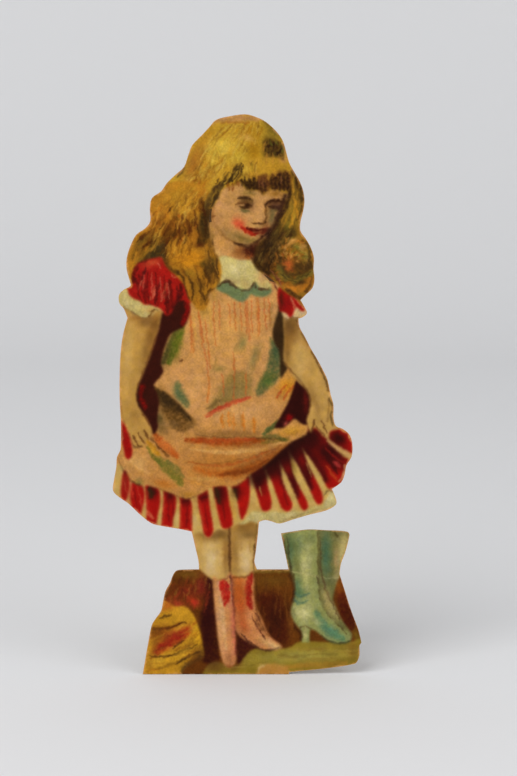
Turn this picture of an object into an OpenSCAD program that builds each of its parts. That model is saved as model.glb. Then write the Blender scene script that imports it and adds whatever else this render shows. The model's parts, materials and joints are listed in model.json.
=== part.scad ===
// Stand-up paper doll: a die-cut, embossed card figure of a girl with a folding easel behind it.
// The card leans back on its straight foot edge and on the foot of the open easel wing.

/* [Figure] */
// Height of the card from its foot to the top of the hair, measured along the card
figure_h = 110; // [90:1:140]
// Angle by which the standing card leans back, in degrees
lean = 8; // [6:0.5:11]

/* [Card] */
// Thickness of the card core
core_t = 0.8; // [0.5:0.1:1.4]
// Thickness of the paper that lines the back
lining_t = 0.15; // [0.1:0.05:0.4]
// Height of the nearly flat printed areas over the core
flat_emboss = 0.25; // [0.15:0.05:0.4]
// Height of the softly embossed areas over the core
soft_emboss = 0.5; // [0.3:0.05:0.7]
// Height of the strongly embossed areas over the core
high_emboss = 0.85; // [0.6:0.05:1.2]
// Height over the floor at which the worn paper layers end
paper_wear = 0.15; // [0.05:0.05:0.4]

/* [Easel] */
// Thickness of the easel board
board_t = 0.8; // [0.5:0.1:1.2]
// Width of the pad that is glued to the back
pad_w = 6.4; // [4:0.2:9]
// Height of the pad along the card
pad_h = 46; // [30:1:55]
// Height of the pad's lower end over the foot of the card
pad_foot = 2; // [1:0.5:6]
// Radius of the pad's outer corners
pad_corner = 1.5; // [0.5:0.1:1.9]
// Height of the wing along its hinge
wing_h = 48; // [34:1:58]
// Depth of the wing at its foot, from the hinge
wing_reach = 21; // [16:1:28]
// Depth of the wing at its upper end
wing_top = 4; // [2.5:0.5:8]
// Height of the upright edge at the wing's foot
wing_heel = 5; // [3.5:0.5:8]
// Clearance between the wing and the pad or the lining
hinge_gap = 0.3; // [0.2:0.05:0.5]
// Thickness of the paper hinge strip
strip_t = 0.15; // [0.1:0.05:0.25]
// Width of each half of the hinge strip
strip_w = 3.2; // [2:0.2:3.8]
// Distance of the strip's ends from the ends of the pad
strip_inset = 1.2; // [0.5:0.1:3]

/* [Hidden] */
// Pixel rows of the top of the hair and of the foot, and the column of the middle of the figure
top_px = 114.5;
foot_px = 674;
middle_px = 237;
// Pixel column of the hinge, behind the legs
hinge_px = 236;
mm_per_px = figure_h / (foot_px - top_px);

// Pieces of each curve between two points of an outline
curve_steps = 3;
$fn = 48;

// Depths behind the middle of the core
core_back = core_t / 2;
lining_back = core_back + lining_t;
pad_back = lining_back + board_t;
hinge_depth = lining_back + hinge_gap + board_t / 2;
hinge_u = (hinge_px - middle_px) * mm_per_px;
pad_edge = hinge_u - board_t / 2 - hinge_gap;

// A span that reaches past the whole figure on all sides
span = 2 * (figure_h + wing_reach);

// Outline of the die cut. In every outline a point that is written twice is a corner.
silhouette_px = [
    [245, 114.3], [256, 117], [266, 122], [276, 131], [282.5, 140], [286, 151], [289, 162],
    [294, 171.5], [300, 182], [303.5, 192], [304.5, 202], [303, 212], [300.5, 222], [300.5, 231],
    [306, 239], [311, 248], [314, 258], [313.5, 269], [314.5, 279], [312.5, 288], [306, 294.5],
    [300.5, 300], [300.5, 300], [304.5, 307], [307, 313], [303, 317], [298.5, 318.5], [298.5, 318.5],
    [299.5, 327], [305, 337], [310.5, 348], [316.5, 358], [323, 370], [327.5, 380], [330.5, 394],
    [333.5, 405], [333.5, 418], [336, 426], [343, 429], [350, 435.5], [352.5, 446], [351.5, 457],
    [346.5, 465], [344.5, 475], [341, 482.5], [332, 489], [332, 489], [336, 499], [335.5, 505],
    [326, 510.5], [310, 514.5], [293, 519.5], [280, 523.5], [272, 521.5], [265, 520], [259, 522],
    [259, 522], [257.5, 538], [255.5, 554], [254.5, 562], [257, 569.5], [257, 569.5], [288.5, 569.5],
    [288.5, 569.5], [285.5, 555], [283, 543], [281, 533.5], [281, 533.5], [296, 531], [310, 529.5],
    [326, 530.3], [342, 531], [349, 533], [348.5, 540], [345, 553], [341, 563.5], [339.5, 574],
    [339.5, 574], [344, 588], [349, 604], [354, 618], [358.5, 630], [361.5, 642.5], [361.5, 642.5],
    [359.5, 646], [359.5, 655], [356.5, 662.5], [351, 664.5], [340, 666.5], [320, 669], [300, 671],
    [289, 672], [289, 672], [289, 690], [289, 690], [138.5, 690], [138.5, 690], [143, 673], [143, 673],
    [146, 655], [148.5, 641], [151.5, 626], [155, 619.5], [161, 611], [163, 602], [165.5, 591],
    [170, 583], [173, 575], [177, 570.5], [186, 569.7], [199, 569.5], [199, 569.5], [198.5, 561],
    [195.5, 548], [193, 537], [191.5, 531.5], [191.5, 531.5], [180, 529], [162, 526], [151, 523],
    [140, 514.5], [129, 504], [119, 497], [113, 490.5], [114, 480], [116.3, 467], [117, 457],
    [120.5, 449.5], [121, 438], [120.8, 420], [119.7, 400], [119.6, 378], [120.5, 354], [123, 335],
    [127.5, 318], [127.5, 318], [124, 309], [119.5, 303.5], [119, 295], [124, 289.5], [130.5, 286],
    [129.5, 280], [126.8, 270], [126.6, 259], [130, 247], [136, 235], [145, 228.5], [150.3, 221],
    [149.8, 209], [152, 198], [161, 191.5], [167, 183], [176, 174.3], [184, 167], [188, 156],
    [192, 145.5], [201, 136], [209, 127.5], [216.5, 119.7], [230, 116.2]];

// Outlines of the printed areas. Each runs on under the areas that lie over it, and past the die cut.
backdrop_px = [[168, 560], [350, 560], [372, 640], [366, 690], [130, 700], [136, 640], [152, 600]];
ground_px = [
    [197, 696], [203, 673], [209, 664], [217, 661.5], [228, 665], [239, 664], [246, 655], [253, 649.5],
    [264, 648], [284, 648.5], [292, 646], [300, 641.5], [316, 641.5], [335, 642], [352, 641.5],
    [368, 637], [374, 662], [366, 696], [280, 702]];
drape_px = [
    [128, 696], [134, 640], [148, 606], [158, 597], [166, 601], [175, 606], [184, 606], [191, 611],
    [196, 620], [200, 632], [203, 646], [204, 656], [199, 661], [190, 665], [184, 670], [180, 682],
    [172, 698]];
rear_boot_px = [
    [313, 524], [336, 522], [358, 525], [353, 546], [346, 562], [341, 574], [337, 582], [334.5, 591],
    [333, 599], [335, 605], [338, 612], [342, 620], [347, 627], [352, 634], [349, 640], [335, 634],
    [318, 612], [312, 570]];
front_boot_px = [
    [276, 544], [276, 528], [298, 523], [318, 524], [318, 524], [318.5, 550], [319, 580], [320, 598],
    [323, 606.5], [328, 614], [334, 621], [341, 627], [347, 631], [351, 636.5], [350.5, 641.5],
    [345, 643.7], [337, 644], [330, 642.5], [325, 639], [319, 633.5], [314, 630], [310, 631],
    [309.5, 642.5], [309.5, 642.5], [301.5, 642.5], [301.5, 642.5], [302, 634], [299, 628],
    [294.5, 622], [291, 614], [291.7, 605], [294, 597], [294.5, 588], [292.5, 579], [288.5, 569],
    [281, 558]];
right_leg_px = [
    [229, 514], [248, 508], [266, 516], [264, 552], [262, 567], [254, 571.5], [250, 580], [242, 584],
    [233, 584], [229, 574], [228, 553], [228, 534]];
left_leg_px = [
    [184, 516], [208, 508], [229, 516], [230, 534], [229.5, 553], [230.5, 570], [229, 582], [222, 587],
    [214, 581], [206, 575], [200, 569.5], [190, 562], [184, 540]];
right_shoe_px = [
    [230, 575], [240, 577.5], [248, 575.5], [252.5, 571], [254, 578], [254, 590], [255, 601.5],
    [258, 611], [262, 619], [265.5, 628], [269.5, 635.5], [275, 640.5], [280, 644], [282, 647.8],
    [276, 650.3], [266, 650.5], [258, 648], [249, 643], [241, 637], [235, 629], [232, 616], [231, 602],
    [230, 588]];
left_shoe_px = [
    [213, 576.5], [220, 580.5], [226, 577], [230.5, 571.5], [232, 580], [232.5, 594], [234, 608],
    [235, 624], [236, 642], [236.5, 656], [235, 664], [230, 667.5], [225, 665.5], [222, 659],
    [219.5, 648], [217.5, 634], [216, 620], [214.5, 606], [213.5, 592]];
petticoat_hem_px = [
    [240, 514], [262, 505], [300, 495], [330, 480], [346, 488], [346, 506], [322, 518], [284, 527.5],
    [268, 526], [259, 524], [251, 521], [245, 524], [239, 523]];
flounce_px = [
    [104, 498], [106, 466], [120, 446], [150, 430], [230, 462], [300, 420], [340, 414], [362, 440],
    [360, 470], [346, 485], [337, 487.5], [331, 491], [327, 498], [321.5, 505.5], [313, 506.5],
    [304, 512], [294, 510.5], [284, 513], [273, 511], [262, 512.5], [252, 511.5], [246, 519],
    [239, 523.5], [232, 527], [225, 529.5], [217, 529.5], [209, 538], [202, 533.5], [196, 533],
    [182, 540], [150, 532], [126, 514]];
sash_end_px = [
    [114, 424], [122, 420], [127, 429], [130, 438], [132, 447], [132, 455], [128.5, 459.5], [125, 456],
    [123.5, 448], [121, 441], [114, 438]];
stripes_px = [
    [[124, 470], [128, 474], [129.5, 484], [127.5, 496], [124, 504], [121, 496], [121.5, 482]],
    [[132, 483], [138, 484], [143.5, 488], [144.5, 498], [142.5, 508], [139, 518], [133, 510],
        [130.5, 498]],
    [[146, 483], [154, 485], [159.5, 491], [160, 504], [157.5, 516], [155, 529], [147, 526],
        [146.5, 508], [145.5, 495]],
    [[163.5, 487], [171, 490], [176, 497], [175.5, 510], [173, 520], [171.5, 532], [162, 530],
        [162.5, 512], [163.5, 499]],
    [[180, 494], [188, 496], [191.5, 503], [192, 516], [191, 535], [180.5, 533], [180, 517],
        [180, 505]],
    [[198, 492], [206, 488], [208.5, 495], [210, 508], [212.5, 522], [213, 532], [209, 537.5],
        [204, 534], [201.5, 520], [198.5, 506]],
    [[213, 484], [224, 482], [228, 492], [229.5, 504], [232, 516], [232.3, 525], [228, 528.7],
        [222, 527.5], [218.5, 516], [215.5, 502]],
    [[231, 484], [241, 478], [248, 474], [250, 488], [249, 502], [246, 513], [242, 519.5],
        [239.5, 514], [238, 504], [234.5, 493]],
    [[251, 470], [261, 464], [266, 476], [268, 487], [271, 498], [271, 507], [267, 511.3],
        [262, 510], [258.5, 500], [254.5, 486]],
    [[261, 455], [273, 446], [280, 466], [282.5, 480], [287, 492], [292, 503], [291, 509.5],
        [286.5, 511.5], [281, 507], [277, 496], [271.5, 481]],
    [[272, 445], [284, 437], [290, 459], [294, 475], [300, 488], [306, 499], [308, 506.5],
        [305, 510.5], [301, 508], [297, 499], [290.5, 484], [283, 468]],
    [[282, 437], [295, 430], [303, 450], [309, 466], [316, 480], [322, 493], [322.5, 501.5],
        [318.5, 504.5], [314, 499], [308, 486], [300, 470], [292.5, 456]],
    [[293, 430], [306, 419], [321, 425], [328, 442.5], [336, 450.5], [344, 457], [349.5, 461],
        [352, 478], [341, 488], [332, 489.5], [327, 487], [320, 474], [311, 460], [303, 449]],
    [[325, 426], [338, 422], [354, 427], [360, 440], [356, 453.5], [346, 450.5], [338, 446],
        [330, 440]]];
pinafore_bib_px = [
    [146, 340], [168, 322], [184, 312], [190, 296], [205, 286], [240, 280], [274, 282], [281, 293],
    [279.5, 306], [277, 318], [273.5, 328], [274, 342], [280, 352], [286, 366], [294, 384], [280, 402],
    [250, 420], [200, 440], [160, 424], [146, 400], [140, 370]];
pinafore_lap_px = [
    [148, 384], [158, 388], [168, 393], [177, 401], [186, 411], [196, 419], [207, 415], [220, 408],
    [234, 402], [248, 397.5], [259, 397.5], [268, 392], [276, 385], [282, 375], [284, 362], [298, 368],
    [311, 394], [309, 424], [306, 434.5], [300, 438], [294, 440.5], [288, 445], [281, 450.5],
    [274, 457], [266, 464], [258, 469.5], [251, 474], [245, 480], [239, 484.5], [231, 486.7],
    [222, 486], [213, 487], [207, 490.5], [200, 494.5], [193, 498], [186, 499], [178, 497],
    [171, 493.5], [163, 491], [156, 488], [148, 485.5], [141, 486], [134, 483.5], [129.5, 479],
    [126.5, 472], [121, 465.5], [110, 460], [108, 448], [122, 438], [144, 432]];
dress_left_px = [
    [160, 312], [168, 306], [176, 298], [184, 297], [190.5, 307], [188.5, 318], [183.5, 327],
    [176, 330.5], [170, 335], [165.5, 345], [162.5, 355], [161, 364], [163.5, 371], [160, 377.5],
    [155, 383], [154.3, 388], [157, 393], [159, 402], [158, 412], [157.3, 420], [158, 427], [154, 434],
    [148, 428], [140, 414], [132, 402], [132, 390], [142, 368], [150, 346]];
dress_right_px = [
    [279, 288], [288, 298], [288, 320], [288, 345], [288, 366], [284, 374], [281, 378], [280, 371],
    [280, 359], [278, 348], [273.5, 340], [272.7, 330], [275.5, 320], [278.3, 310], [278.5, 299]];
dress_gap_px = [
    [297, 380], [308, 384], [316, 400], [316, 416], [308, 424], [302, 424], [297.5, 420.5], [294, 419],
    [289, 423.5], [283, 428], [275.5, 428], [275, 426], [279, 419], [284, 410], [289, 400], [293, 389]];
left_arm_px = [
    [112, 306], [136, 310], [162, 304], [161, 318], [158, 333], [154, 346], [149, 360], [143, 375],
    [138.5, 386], [136.5, 396], [138, 405], [143, 413], [148.5, 421], [152, 431], [151, 437],
    [147, 440], [144.5, 446], [139, 448], [134, 447.5], [131, 441], [128, 433], [125, 425], [119, 418],
    [110, 408], [108, 360]];
right_arm_px = [
    [284, 314], [284, 338], [283.5, 361], [288, 369], [294, 377], [300, 384], [306, 390.5],
    [309.5, 399], [309, 410], [306.5, 420], [308, 428], [311, 433], [314, 428], [318, 430], [323, 436],
    [328, 439], [330.5, 431], [340, 427], [344, 408], [338, 376], [320, 344], [308, 322], [298, 310]];
left_frill_px = [
    [108, 302], [112, 288], [130, 283], [150, 292], [167, 302], [167, 315], [160.5, 310.5], [155, 313],
    [149, 317.5], [142, 318], [134, 314.5], [127, 309.5], [117, 310]];
right_frill_px = [
    [282, 310], [288, 306], [296, 298], [306, 296], [316, 308], [310, 322], [299, 319.3], [292, 317.5],
    [287, 320], [283, 316.5]];
left_sleeve_px = [
    [122, 280], [130, 254], [165, 248], [190, 280], [190.5, 303], [184, 300], [177, 303], [172, 312.5],
    [166, 315.5], [161, 309.5], [156, 307], [150, 305], [144, 304.5], [139, 300.5], [134, 299],
    [129, 294.5], [127, 288]];
right_sleeve_px = [
    [278.5, 288], [296, 288], [303, 299], [304.7, 310], [301, 311], [297, 307.5], [294.5, 310],
    [292.5, 315.5], [289.5, 317.3], [286.5, 313.5], [282.5, 312], [279, 309]];
neck_px = [
    [203, 226], [226, 220], [264, 226], [263, 248], [255, 263], [240, 265], [222, 264], [211, 256],
    [204, 243]];
collar_trim_px = [
    [216, 288], [222, 281], [240, 282], [256, 280], [270, 286], [271, 292.5], [265, 296.5],
    [257, 296.5], [251, 294.5], [248, 298], [244, 301.5], [239, 301.5], [233, 298.5], [227, 294.5],
    [221, 292]];
collar_px = [
    [213, 264], [222, 256], [231, 257.5], [240, 260], [249, 260], [254.5, 264], [260, 270.5],
    [266, 277], [271.5, 284], [269.5, 289], [264, 289.5], [259, 287.5], [255.5, 282], [252, 287],
    [247, 289.5], [241, 288.5], [236, 287], [231, 283], [225, 281], [219, 284], [212, 278]];
hair_crown_px = [
    [138, 206], [166, 164], [180, 140], [205, 108], [245, 102], [284, 114], [302, 150], [314, 188],
    [300, 204], [284, 200], [260, 190], [235, 186], [216, 192], [200, 204], [170, 208]];
left_hair_px = [
    [116, 244], [140, 221], [140, 198], [160, 186], [178, 181], [196, 184], [207, 190], [213, 197],
    [212, 204], [210, 212], [209, 222], [210, 234], [211, 244], [214, 252], [219, 259], [221.5, 268],
    [221, 278], [218, 285], [213, 291], [208.5, 294], [209, 302], [204, 310], [197, 309.5], [192, 303],
    [188.5, 299], [186, 292], [183, 284], [177, 277], [170, 271], [165, 265], [161.5, 257.5],
    [155, 258], [146, 260], [137.5, 263.5], [133, 271], [131.5, 279], [132, 287], [122, 286],
    [116, 264]];
right_hair_px = [
    [285, 186], [296, 164], [314, 180], [316, 215], [324, 250], [324, 285], [306, 306], [297, 299.5],
    [290, 295.5], [283, 290.5], [277, 284], [270, 278], [262, 273], [256, 267.5], [252.5, 262],
    [255, 255], [256.5, 247], [262, 240], [270, 232.5], [273, 225], [277, 217], [281, 210], [285, 200]];
face_px = [
    [216, 196], [226, 180], [246, 174], [275, 180], [287, 190], [286, 200], [282, 208.5], [278, 215],
    [274, 223], [271, 231], [265, 237], [258, 241], [251, 244], [244, 245.5], [236, 244], [228, 240],
    [221, 234.5], [214, 228.5], [211.5, 220], [211.5, 212], [213, 204]];
fringe_px = [
    [207, 206], [210, 190], [216, 177], [227, 168], [241, 161], [258, 158], [274, 157], [286, 162],
    [291, 172], [291, 184], [288, 193], [284, 192.5], [278, 191], [272, 190], [267, 192.5], [263, 195],
    [258, 191], [250, 190.5], [244, 187.5], [240, 182.5], [234, 185.5], [227, 187], [222, 190.5],
    [219, 197], [215, 204], [211, 209]];

// The printed areas from the lowest to the uppermost, each with its outlines
AREAS = [
    ["backdrop", [backdrop_px]], ["ground", [ground_px]], ["drape", [drape_px]],
    ["rear_boot", [rear_boot_px]], ["front_boot", [front_boot_px]],
    ["right_leg", [right_leg_px]], ["left_leg", [left_leg_px]],
    ["right_shoe", [right_shoe_px]], ["left_shoe", [left_shoe_px]],
    ["petticoat_hem", [petticoat_hem_px]], ["flounce", [flounce_px]], ["flounce_stripes", stripes_px],
    ["pinafore_bib", [pinafore_bib_px]], ["pinafore_lap", [pinafore_lap_px]],
    ["dress_left", [dress_left_px]], ["dress_right", [dress_right_px]], ["dress_gap", [dress_gap_px]],
    ["sash_end", [sash_end_px]], ["left_arm", [left_arm_px]], ["right_arm", [right_arm_px]],
    ["left_frill", [left_frill_px]], ["right_frill", [right_frill_px]],
    ["left_sleeve", [left_sleeve_px]], ["right_sleeve", [right_sleeve_px]],
    ["neck", [neck_px]], ["collar_trim", [collar_trim_px]], ["collar", [collar_px]],
    ["hair_crown", [hair_crown_px]], ["left_hair", [left_hair_px]], ["right_hair", [right_hair_px]],
    ["face", [face_px]], ["fringe", [fringe_px]]];

// Point of a Catmull-Rom curve at share s of the way from b to c
function curve_point(a, b, c, d, s) =
    (2 * b + (c - a) * s + (2 * a - 5 * b + 4 * c - d) * s^2 + (3 * b - a - 3 * c + d) * s^3) / 2;

// Closed curve through the points of an outline
function curve(p) = [
    for (i = [0 : len(p) - 1])
        let (count = len(p), b = p[i], c = p[(i + 1) % count])
        if (b != c)
            for (s = [0 : curve_steps - 1])
                curve_point(p[(i + count - 1) % count], b, c, p[(i + 2) % count], s / curve_steps)];

// Pixel coordinates as places on the card: across from the middle, and up from the foot
function on_card_plane(p) = [for (q = p) [q.x - middle_px, foot_px - q.y] * mm_per_px];

function column(p, k) = [for (q = p) q[k]];
function boxes_meet(p, q) =
    max(column(p, 0)) > min(column(q, 0)) && max(column(q, 0)) > min(column(p, 0))
    && max(column(p, 1)) > min(column(q, 1)) && max(column(q, 1)) > min(column(p, 1));
function all_points(outlines) = [for (outline = outlines) each outline];

module shape(outline) {
    polygon(on_card_plane(curve(outline)));
}

// Flat shape of one printed area: what the areas over it leave free
module area(name) {
    i = search([name], AREAS)[0];
    own = AREAS[i][1];
    difference() {
        intersection() {
            shape(silhouette_px);
            union() for (outline = own) shape(outline);
        }
        for (j = [i + 1 : 1 : len(AREAS) - 1])
            if (boxes_meet(all_points(own), all_points(AREAS[j][1])))
                for (outline = AREAS[j][1]) shape(outline);
    }
}

// Stands a flat shape up as a leaning sheet whose back lies at the given height before the core's middle
module sheet(back, thickness) {
    rotate([90 - lean, 0, 0]) translate([0, 0, back]) linear_extrude(thickness) children();
}

// Leans a piece that is modelled upright
module leaning() {
    rotate([-lean, 0, 0]) children();
}

// Cuts off what lies under the floor, or under the given height over it
module on_floor(height = 0) {
    intersection() {
        children();
        translate([-span / 2, -span / 2, height]) cube(span);
    }
}

module printed(name, emboss) {
    sheet(core_back, emboss) area(name);
}

module card_core() color([0.62, 0.53, 0.42]) on_floor() sheet(-core_back, core_t) shape(silhouette_px);
module back_lining() color([0.72, 0.64, 0.50]) on_floor(paper_wear)
    sheet(-lining_back, lining_t) shape(silhouette_px);

module backdrop() color([0.33, 0.14, 0.06]) on_floor(paper_wear) printed("backdrop", flat_emboss);
module ground() color([0.58, 0.50, 0.17]) on_floor(paper_wear) printed("ground", soft_emboss);
module drape() color([0.80, 0.58, 0.14]) on_floor(paper_wear) printed("drape", soft_emboss);
module rear_boot() color([0.45, 0.50, 0.33]) printed("rear_boot", soft_emboss);
module front_boot() color([0.58, 0.64, 0.43]) printed("front_boot", high_emboss);
module right_leg() color([0.78, 0.64, 0.38]) printed("right_leg", soft_emboss);
module left_leg() color([0.80, 0.67, 0.41]) printed("left_leg", soft_emboss);
module right_shoe() color([0.82, 0.52, 0.33]) printed("right_shoe", high_emboss);
module left_shoe() color([0.84, 0.58, 0.38]) printed("left_shoe", high_emboss);
module petticoat_hem() color([0.80, 0.75, 0.54]) printed("petticoat_hem", soft_emboss);
module flounce() color([0.82, 0.70, 0.42]) printed("flounce", soft_emboss);
module flounce_stripes() color([0.64, 0.08, 0.05]) printed("flounce_stripes", soft_emboss);
module pinafore_bib() color([0.83, 0.62, 0.39]) printed("pinafore_bib", soft_emboss);
module pinafore_lap() color([0.81, 0.58, 0.30]) printed("pinafore_lap", high_emboss);
module dress_left() color([0.26, 0.06, 0.06]) printed("dress_left", flat_emboss);
module dress_right() color([0.22, 0.16, 0.08]) printed("dress_right", flat_emboss);
module dress_gap() color([0.28, 0.05, 0.06]) printed("dress_gap", flat_emboss);
module sash_end() color([0.68, 0.08, 0.06]) printed("sash_end", soft_emboss);
module left_arm() color([0.80, 0.64, 0.35]) printed("left_arm", high_emboss);
module right_arm() color([0.80, 0.65, 0.37]) printed("right_arm", high_emboss);
module left_frill() color([0.80, 0.72, 0.46]) printed("left_frill", high_emboss);
module right_frill() color([0.82, 0.72, 0.52]) printed("right_frill", soft_emboss);
module left_sleeve() color([0.66, 0.10, 0.07]) printed("left_sleeve", high_emboss);
module right_sleeve() color([0.66, 0.10, 0.07]) printed("right_sleeve", soft_emboss);
module neck() color([0.80, 0.58, 0.33]) printed("neck", flat_emboss);
module collar_trim() color([0.42, 0.53, 0.42]) printed("collar_trim", soft_emboss);
module collar() color([0.82, 0.77, 0.52]) printed("collar", high_emboss);
module hair_crown() color([0.77, 0.62, 0.18]) printed("hair_crown", high_emboss);
module left_hair() color([0.74, 0.53, 0.16]) printed("left_hair", high_emboss);
module right_hair() color([0.60, 0.44, 0.12]) printed("right_hair", high_emboss);
module face() color([0.81, 0.60, 0.38]) printed("face", high_emboss);
module fringe() color([0.58, 0.44, 0.13]) printed("fringe", high_emboss);

// Board strip with two round corners, glued to the lining beside the hinge
module easel_pad() color([0.60, 0.50, 0.37])
    sheet(-pad_back, board_t) translate([pad_edge - pad_w, pad_foot]) pad_shape();

module pad_shape() {
    translate([pad_corner, 0]) square([pad_w - pad_corner, pad_h]);
    translate([0, pad_corner]) square([pad_w, pad_h - 2 * pad_corner]);
    for (v = [pad_corner, pad_h - pad_corner]) translate([pad_corner, v]) circle(pad_corner);
}

// Side view of the wing, from the hinge to its foot
module wing_profile() {
    polygon([
        [0, -wing_heel], [wing_reach, -wing_heel], [wing_reach, wing_heel],
        [wing_top, wing_h], [0, wing_h]]);
}

// The wing stands square to the card when it is open, and its hinge edge is round
module easel_wing() color([0.60, 0.50, 0.37]) on_floor() leaning() translate([hinge_u, hinge_depth, 0]) {
    translate([-board_t / 2, 0, 0]) rotate([90, 0, 90]) linear_extrude(board_t) wing_profile();
    translate([0, 0, -wing_heel]) cylinder(d = board_t, h = wing_h + wing_heel);
}

// Half of the hinge strip that is glued to the pad
module hinge_strip_fixed() color([0.76, 0.70, 0.58])
    sheet(-pad_back - strip_t, strip_t)
        translate([pad_edge - strip_w, pad_foot + strip_inset]) square([strip_w, pad_h - 2 * strip_inset]);

// Half of the hinge strip that is glued to the wing
module hinge_strip_moving() color([0.76, 0.70, 0.58]) leaning()
    translate([hinge_u - board_t / 2 - strip_t, hinge_depth, pad_foot + strip_inset])
        cube([strip_t, strip_w, pad_h - 2 * strip_inset]);

card_core();
back_lining();
backdrop();
ground();
drape();
rear_boot();
front_boot();
right_leg();
left_leg();
right_shoe();
left_shoe();
petticoat_hem();
flounce();
flounce_stripes();
pinafore_bib();
pinafore_lap();
dress_left();
dress_right();
dress_gap();
sash_end();
left_arm();
right_arm();
left_frill();
right_frill();
left_sleeve();
right_sleeve();
neck();
collar_trim();
collar();
hair_crown();
left_hair();
right_hair();
face();
fringe();
easel_pad();
easel_wing();
hinge_strip_fixed();
hinge_strip_moving();
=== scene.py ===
# Stand-up paper doll: a printed, embossed and die-cut card figure with a folding easel behind it
import json
import math

import bpy
import numpy as np
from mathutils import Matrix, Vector
from mathutils.geometry import delaunay_2d_cdt


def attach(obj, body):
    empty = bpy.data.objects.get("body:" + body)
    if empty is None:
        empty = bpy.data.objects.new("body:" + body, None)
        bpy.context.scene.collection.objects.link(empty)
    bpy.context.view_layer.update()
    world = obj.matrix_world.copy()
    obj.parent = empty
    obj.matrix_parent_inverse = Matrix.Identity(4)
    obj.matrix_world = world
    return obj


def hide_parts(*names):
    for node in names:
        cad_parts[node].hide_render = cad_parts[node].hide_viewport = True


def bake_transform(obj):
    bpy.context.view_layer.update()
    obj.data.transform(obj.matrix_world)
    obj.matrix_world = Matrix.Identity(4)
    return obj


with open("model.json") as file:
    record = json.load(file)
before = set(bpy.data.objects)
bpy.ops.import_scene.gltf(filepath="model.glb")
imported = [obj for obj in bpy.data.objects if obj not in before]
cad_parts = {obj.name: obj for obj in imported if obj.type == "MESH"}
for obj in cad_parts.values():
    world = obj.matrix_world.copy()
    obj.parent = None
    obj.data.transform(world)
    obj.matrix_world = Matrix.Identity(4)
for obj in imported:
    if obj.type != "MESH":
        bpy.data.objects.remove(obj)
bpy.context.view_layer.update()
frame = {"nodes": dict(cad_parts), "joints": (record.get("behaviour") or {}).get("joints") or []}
scene = bpy.context.scene
hinge = frame["joints"][0]

# places on the printed sheet are columns and rows of the picture, and the card carries them to metres
card = {
    "height": 0.110,        # foot to top of the hair, along the card
    "topRow": 114.5,
    "footRow": 674.0,
    "midColumn": 237.0,
    "meshStep": 0.8,        # spacing of the paper's mesh points, in pixels
    "rowStep": 0.87,        # spacing of their rows, in steps
    "shuffle": 0.12,        # how far each point is moved from its row, in steps
    "borderGap": 0.5,       # room between the outline and the first points, in steps
    "edgeLift": 0.00016,    # height of the paper along every cut or creased outline
    "creaseWidth": 13.0,    # pixels over which the embossing rises
    "embossShare": 0.66,    # of the height that the die leaves room for
    "edgeRound": 3.0,       # pixels over which the rim of an area is rounded
    "reliefFade": 2.0,      # pixels over which the drawn relief fades out at the rim
    "thinnest": 0.00006,    # least height of the printed paper
    "bareTone": (205, 180, 140),
    "waver": 0.9,           # unsteadiness of the brush lines, in pixels
    "tremble": 0.45,
    "dryness": 0.32,        # unevenness of the ink that a brush leaves
    "seed": 11,
}
pixel = card["height"] / (card["footRow"] - card["topRow"])
leanAngle = math.atan2(hinge["axis"][1], hinge["axis"][2])
leanSin, leanCos = math.sin(leanAngle), math.cos(leanAngle)


def nodePoints(name):
    mesh = frame["nodes"][name].data
    flat = np.empty(len(mesh.vertices) * 3, np.float32)
    mesh.vertices.foreach_get("co", flat)
    return flat.reshape(-1, 3).astype(float)


def toSheet(points):  # metres to column, row and depth behind the middle of the core
    x, y, z = points.T
    up = y * leanSin + z * leanCos
    column = x / pixel + card["midColumn"]
    return np.column_stack((column, card["footRow"] - up / pixel, y * leanCos - z * leanSin))


def toWorld(spots, depth):
    across = (spots[:, 0] - card["midColumn"]) * pixel
    up = (card["footRow"] - spots[:, 1]) * pixel
    return np.column_stack((across, up * leanSin + depth * leanCos, up * leanCos - depth * leanSin))


coreFront = toSheet(nodePoints("card_core"))[:, 2].min()


# outlines of the flat front of a node, as closed loops of columns and rows
def outlineLoops(name, flatten=toSheet):
    mesh = frame["nodes"][name].data
    places = flatten(nodePoints(name))
    mesh.calc_loop_triangles()
    corners = np.empty(len(mesh.loop_triangles) * 3, np.int32)
    mesh.loop_triangles.foreach_get("vertices", corners)
    corners = corners.reshape(-1, 3)
    onFront = (places[corners, 2] < places[:, 2].min() + 1e-5).all(1)
    spots, same = np.unique(np.round(places[:, :2], 3), axis=0, return_inverse=True)
    pairs = set()
    for a, b, c in same.reshape(-1)[corners[onFront]].tolist():
        if len({a, b, c}) == 3:
            pairs.update(((a, b), (b, c), (c, a)))
    follows = {}
    for a, b in sorted(pairs):
        if (b, a) not in pairs:
            follows.setdefault(a, []).append(b)
    loops = []
    while follows:
        first = next(iter(follows))
        loop, here = [first], first
        while True:
            there = follows[here].pop()
            if not follows[here]:
                del follows[here]
            if there == first:
                break
            loop.append(there)
            here = there
        loops.append(spots[loop])
    return loops


def finerLoop(loop, step):
    points = []
    for a, b in zip(loop, np.roll(loop, -1, axis=0)):
        parts = max(1, math.ceil(np.hypot(*(b - a)) / step))
        points.extend(a + (b - a) * i / parts for i in range(parts))
    return np.array(points)


def insideLoops(points, loops):
    inside = np.zeros(len(points), bool)
    for loop in loops:
        for (ax, ay), (bx, by) in zip(loop, np.roll(loop, -1, axis=0)):
            if ay != by:
                crossed = (ay > points[:, 1]) != (by > points[:, 1])
                inside ^= crossed & (points[:, 0] < (bx - ax) * (points[:, 1] - ay) / (by - ay) + ax)
    return inside


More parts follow.
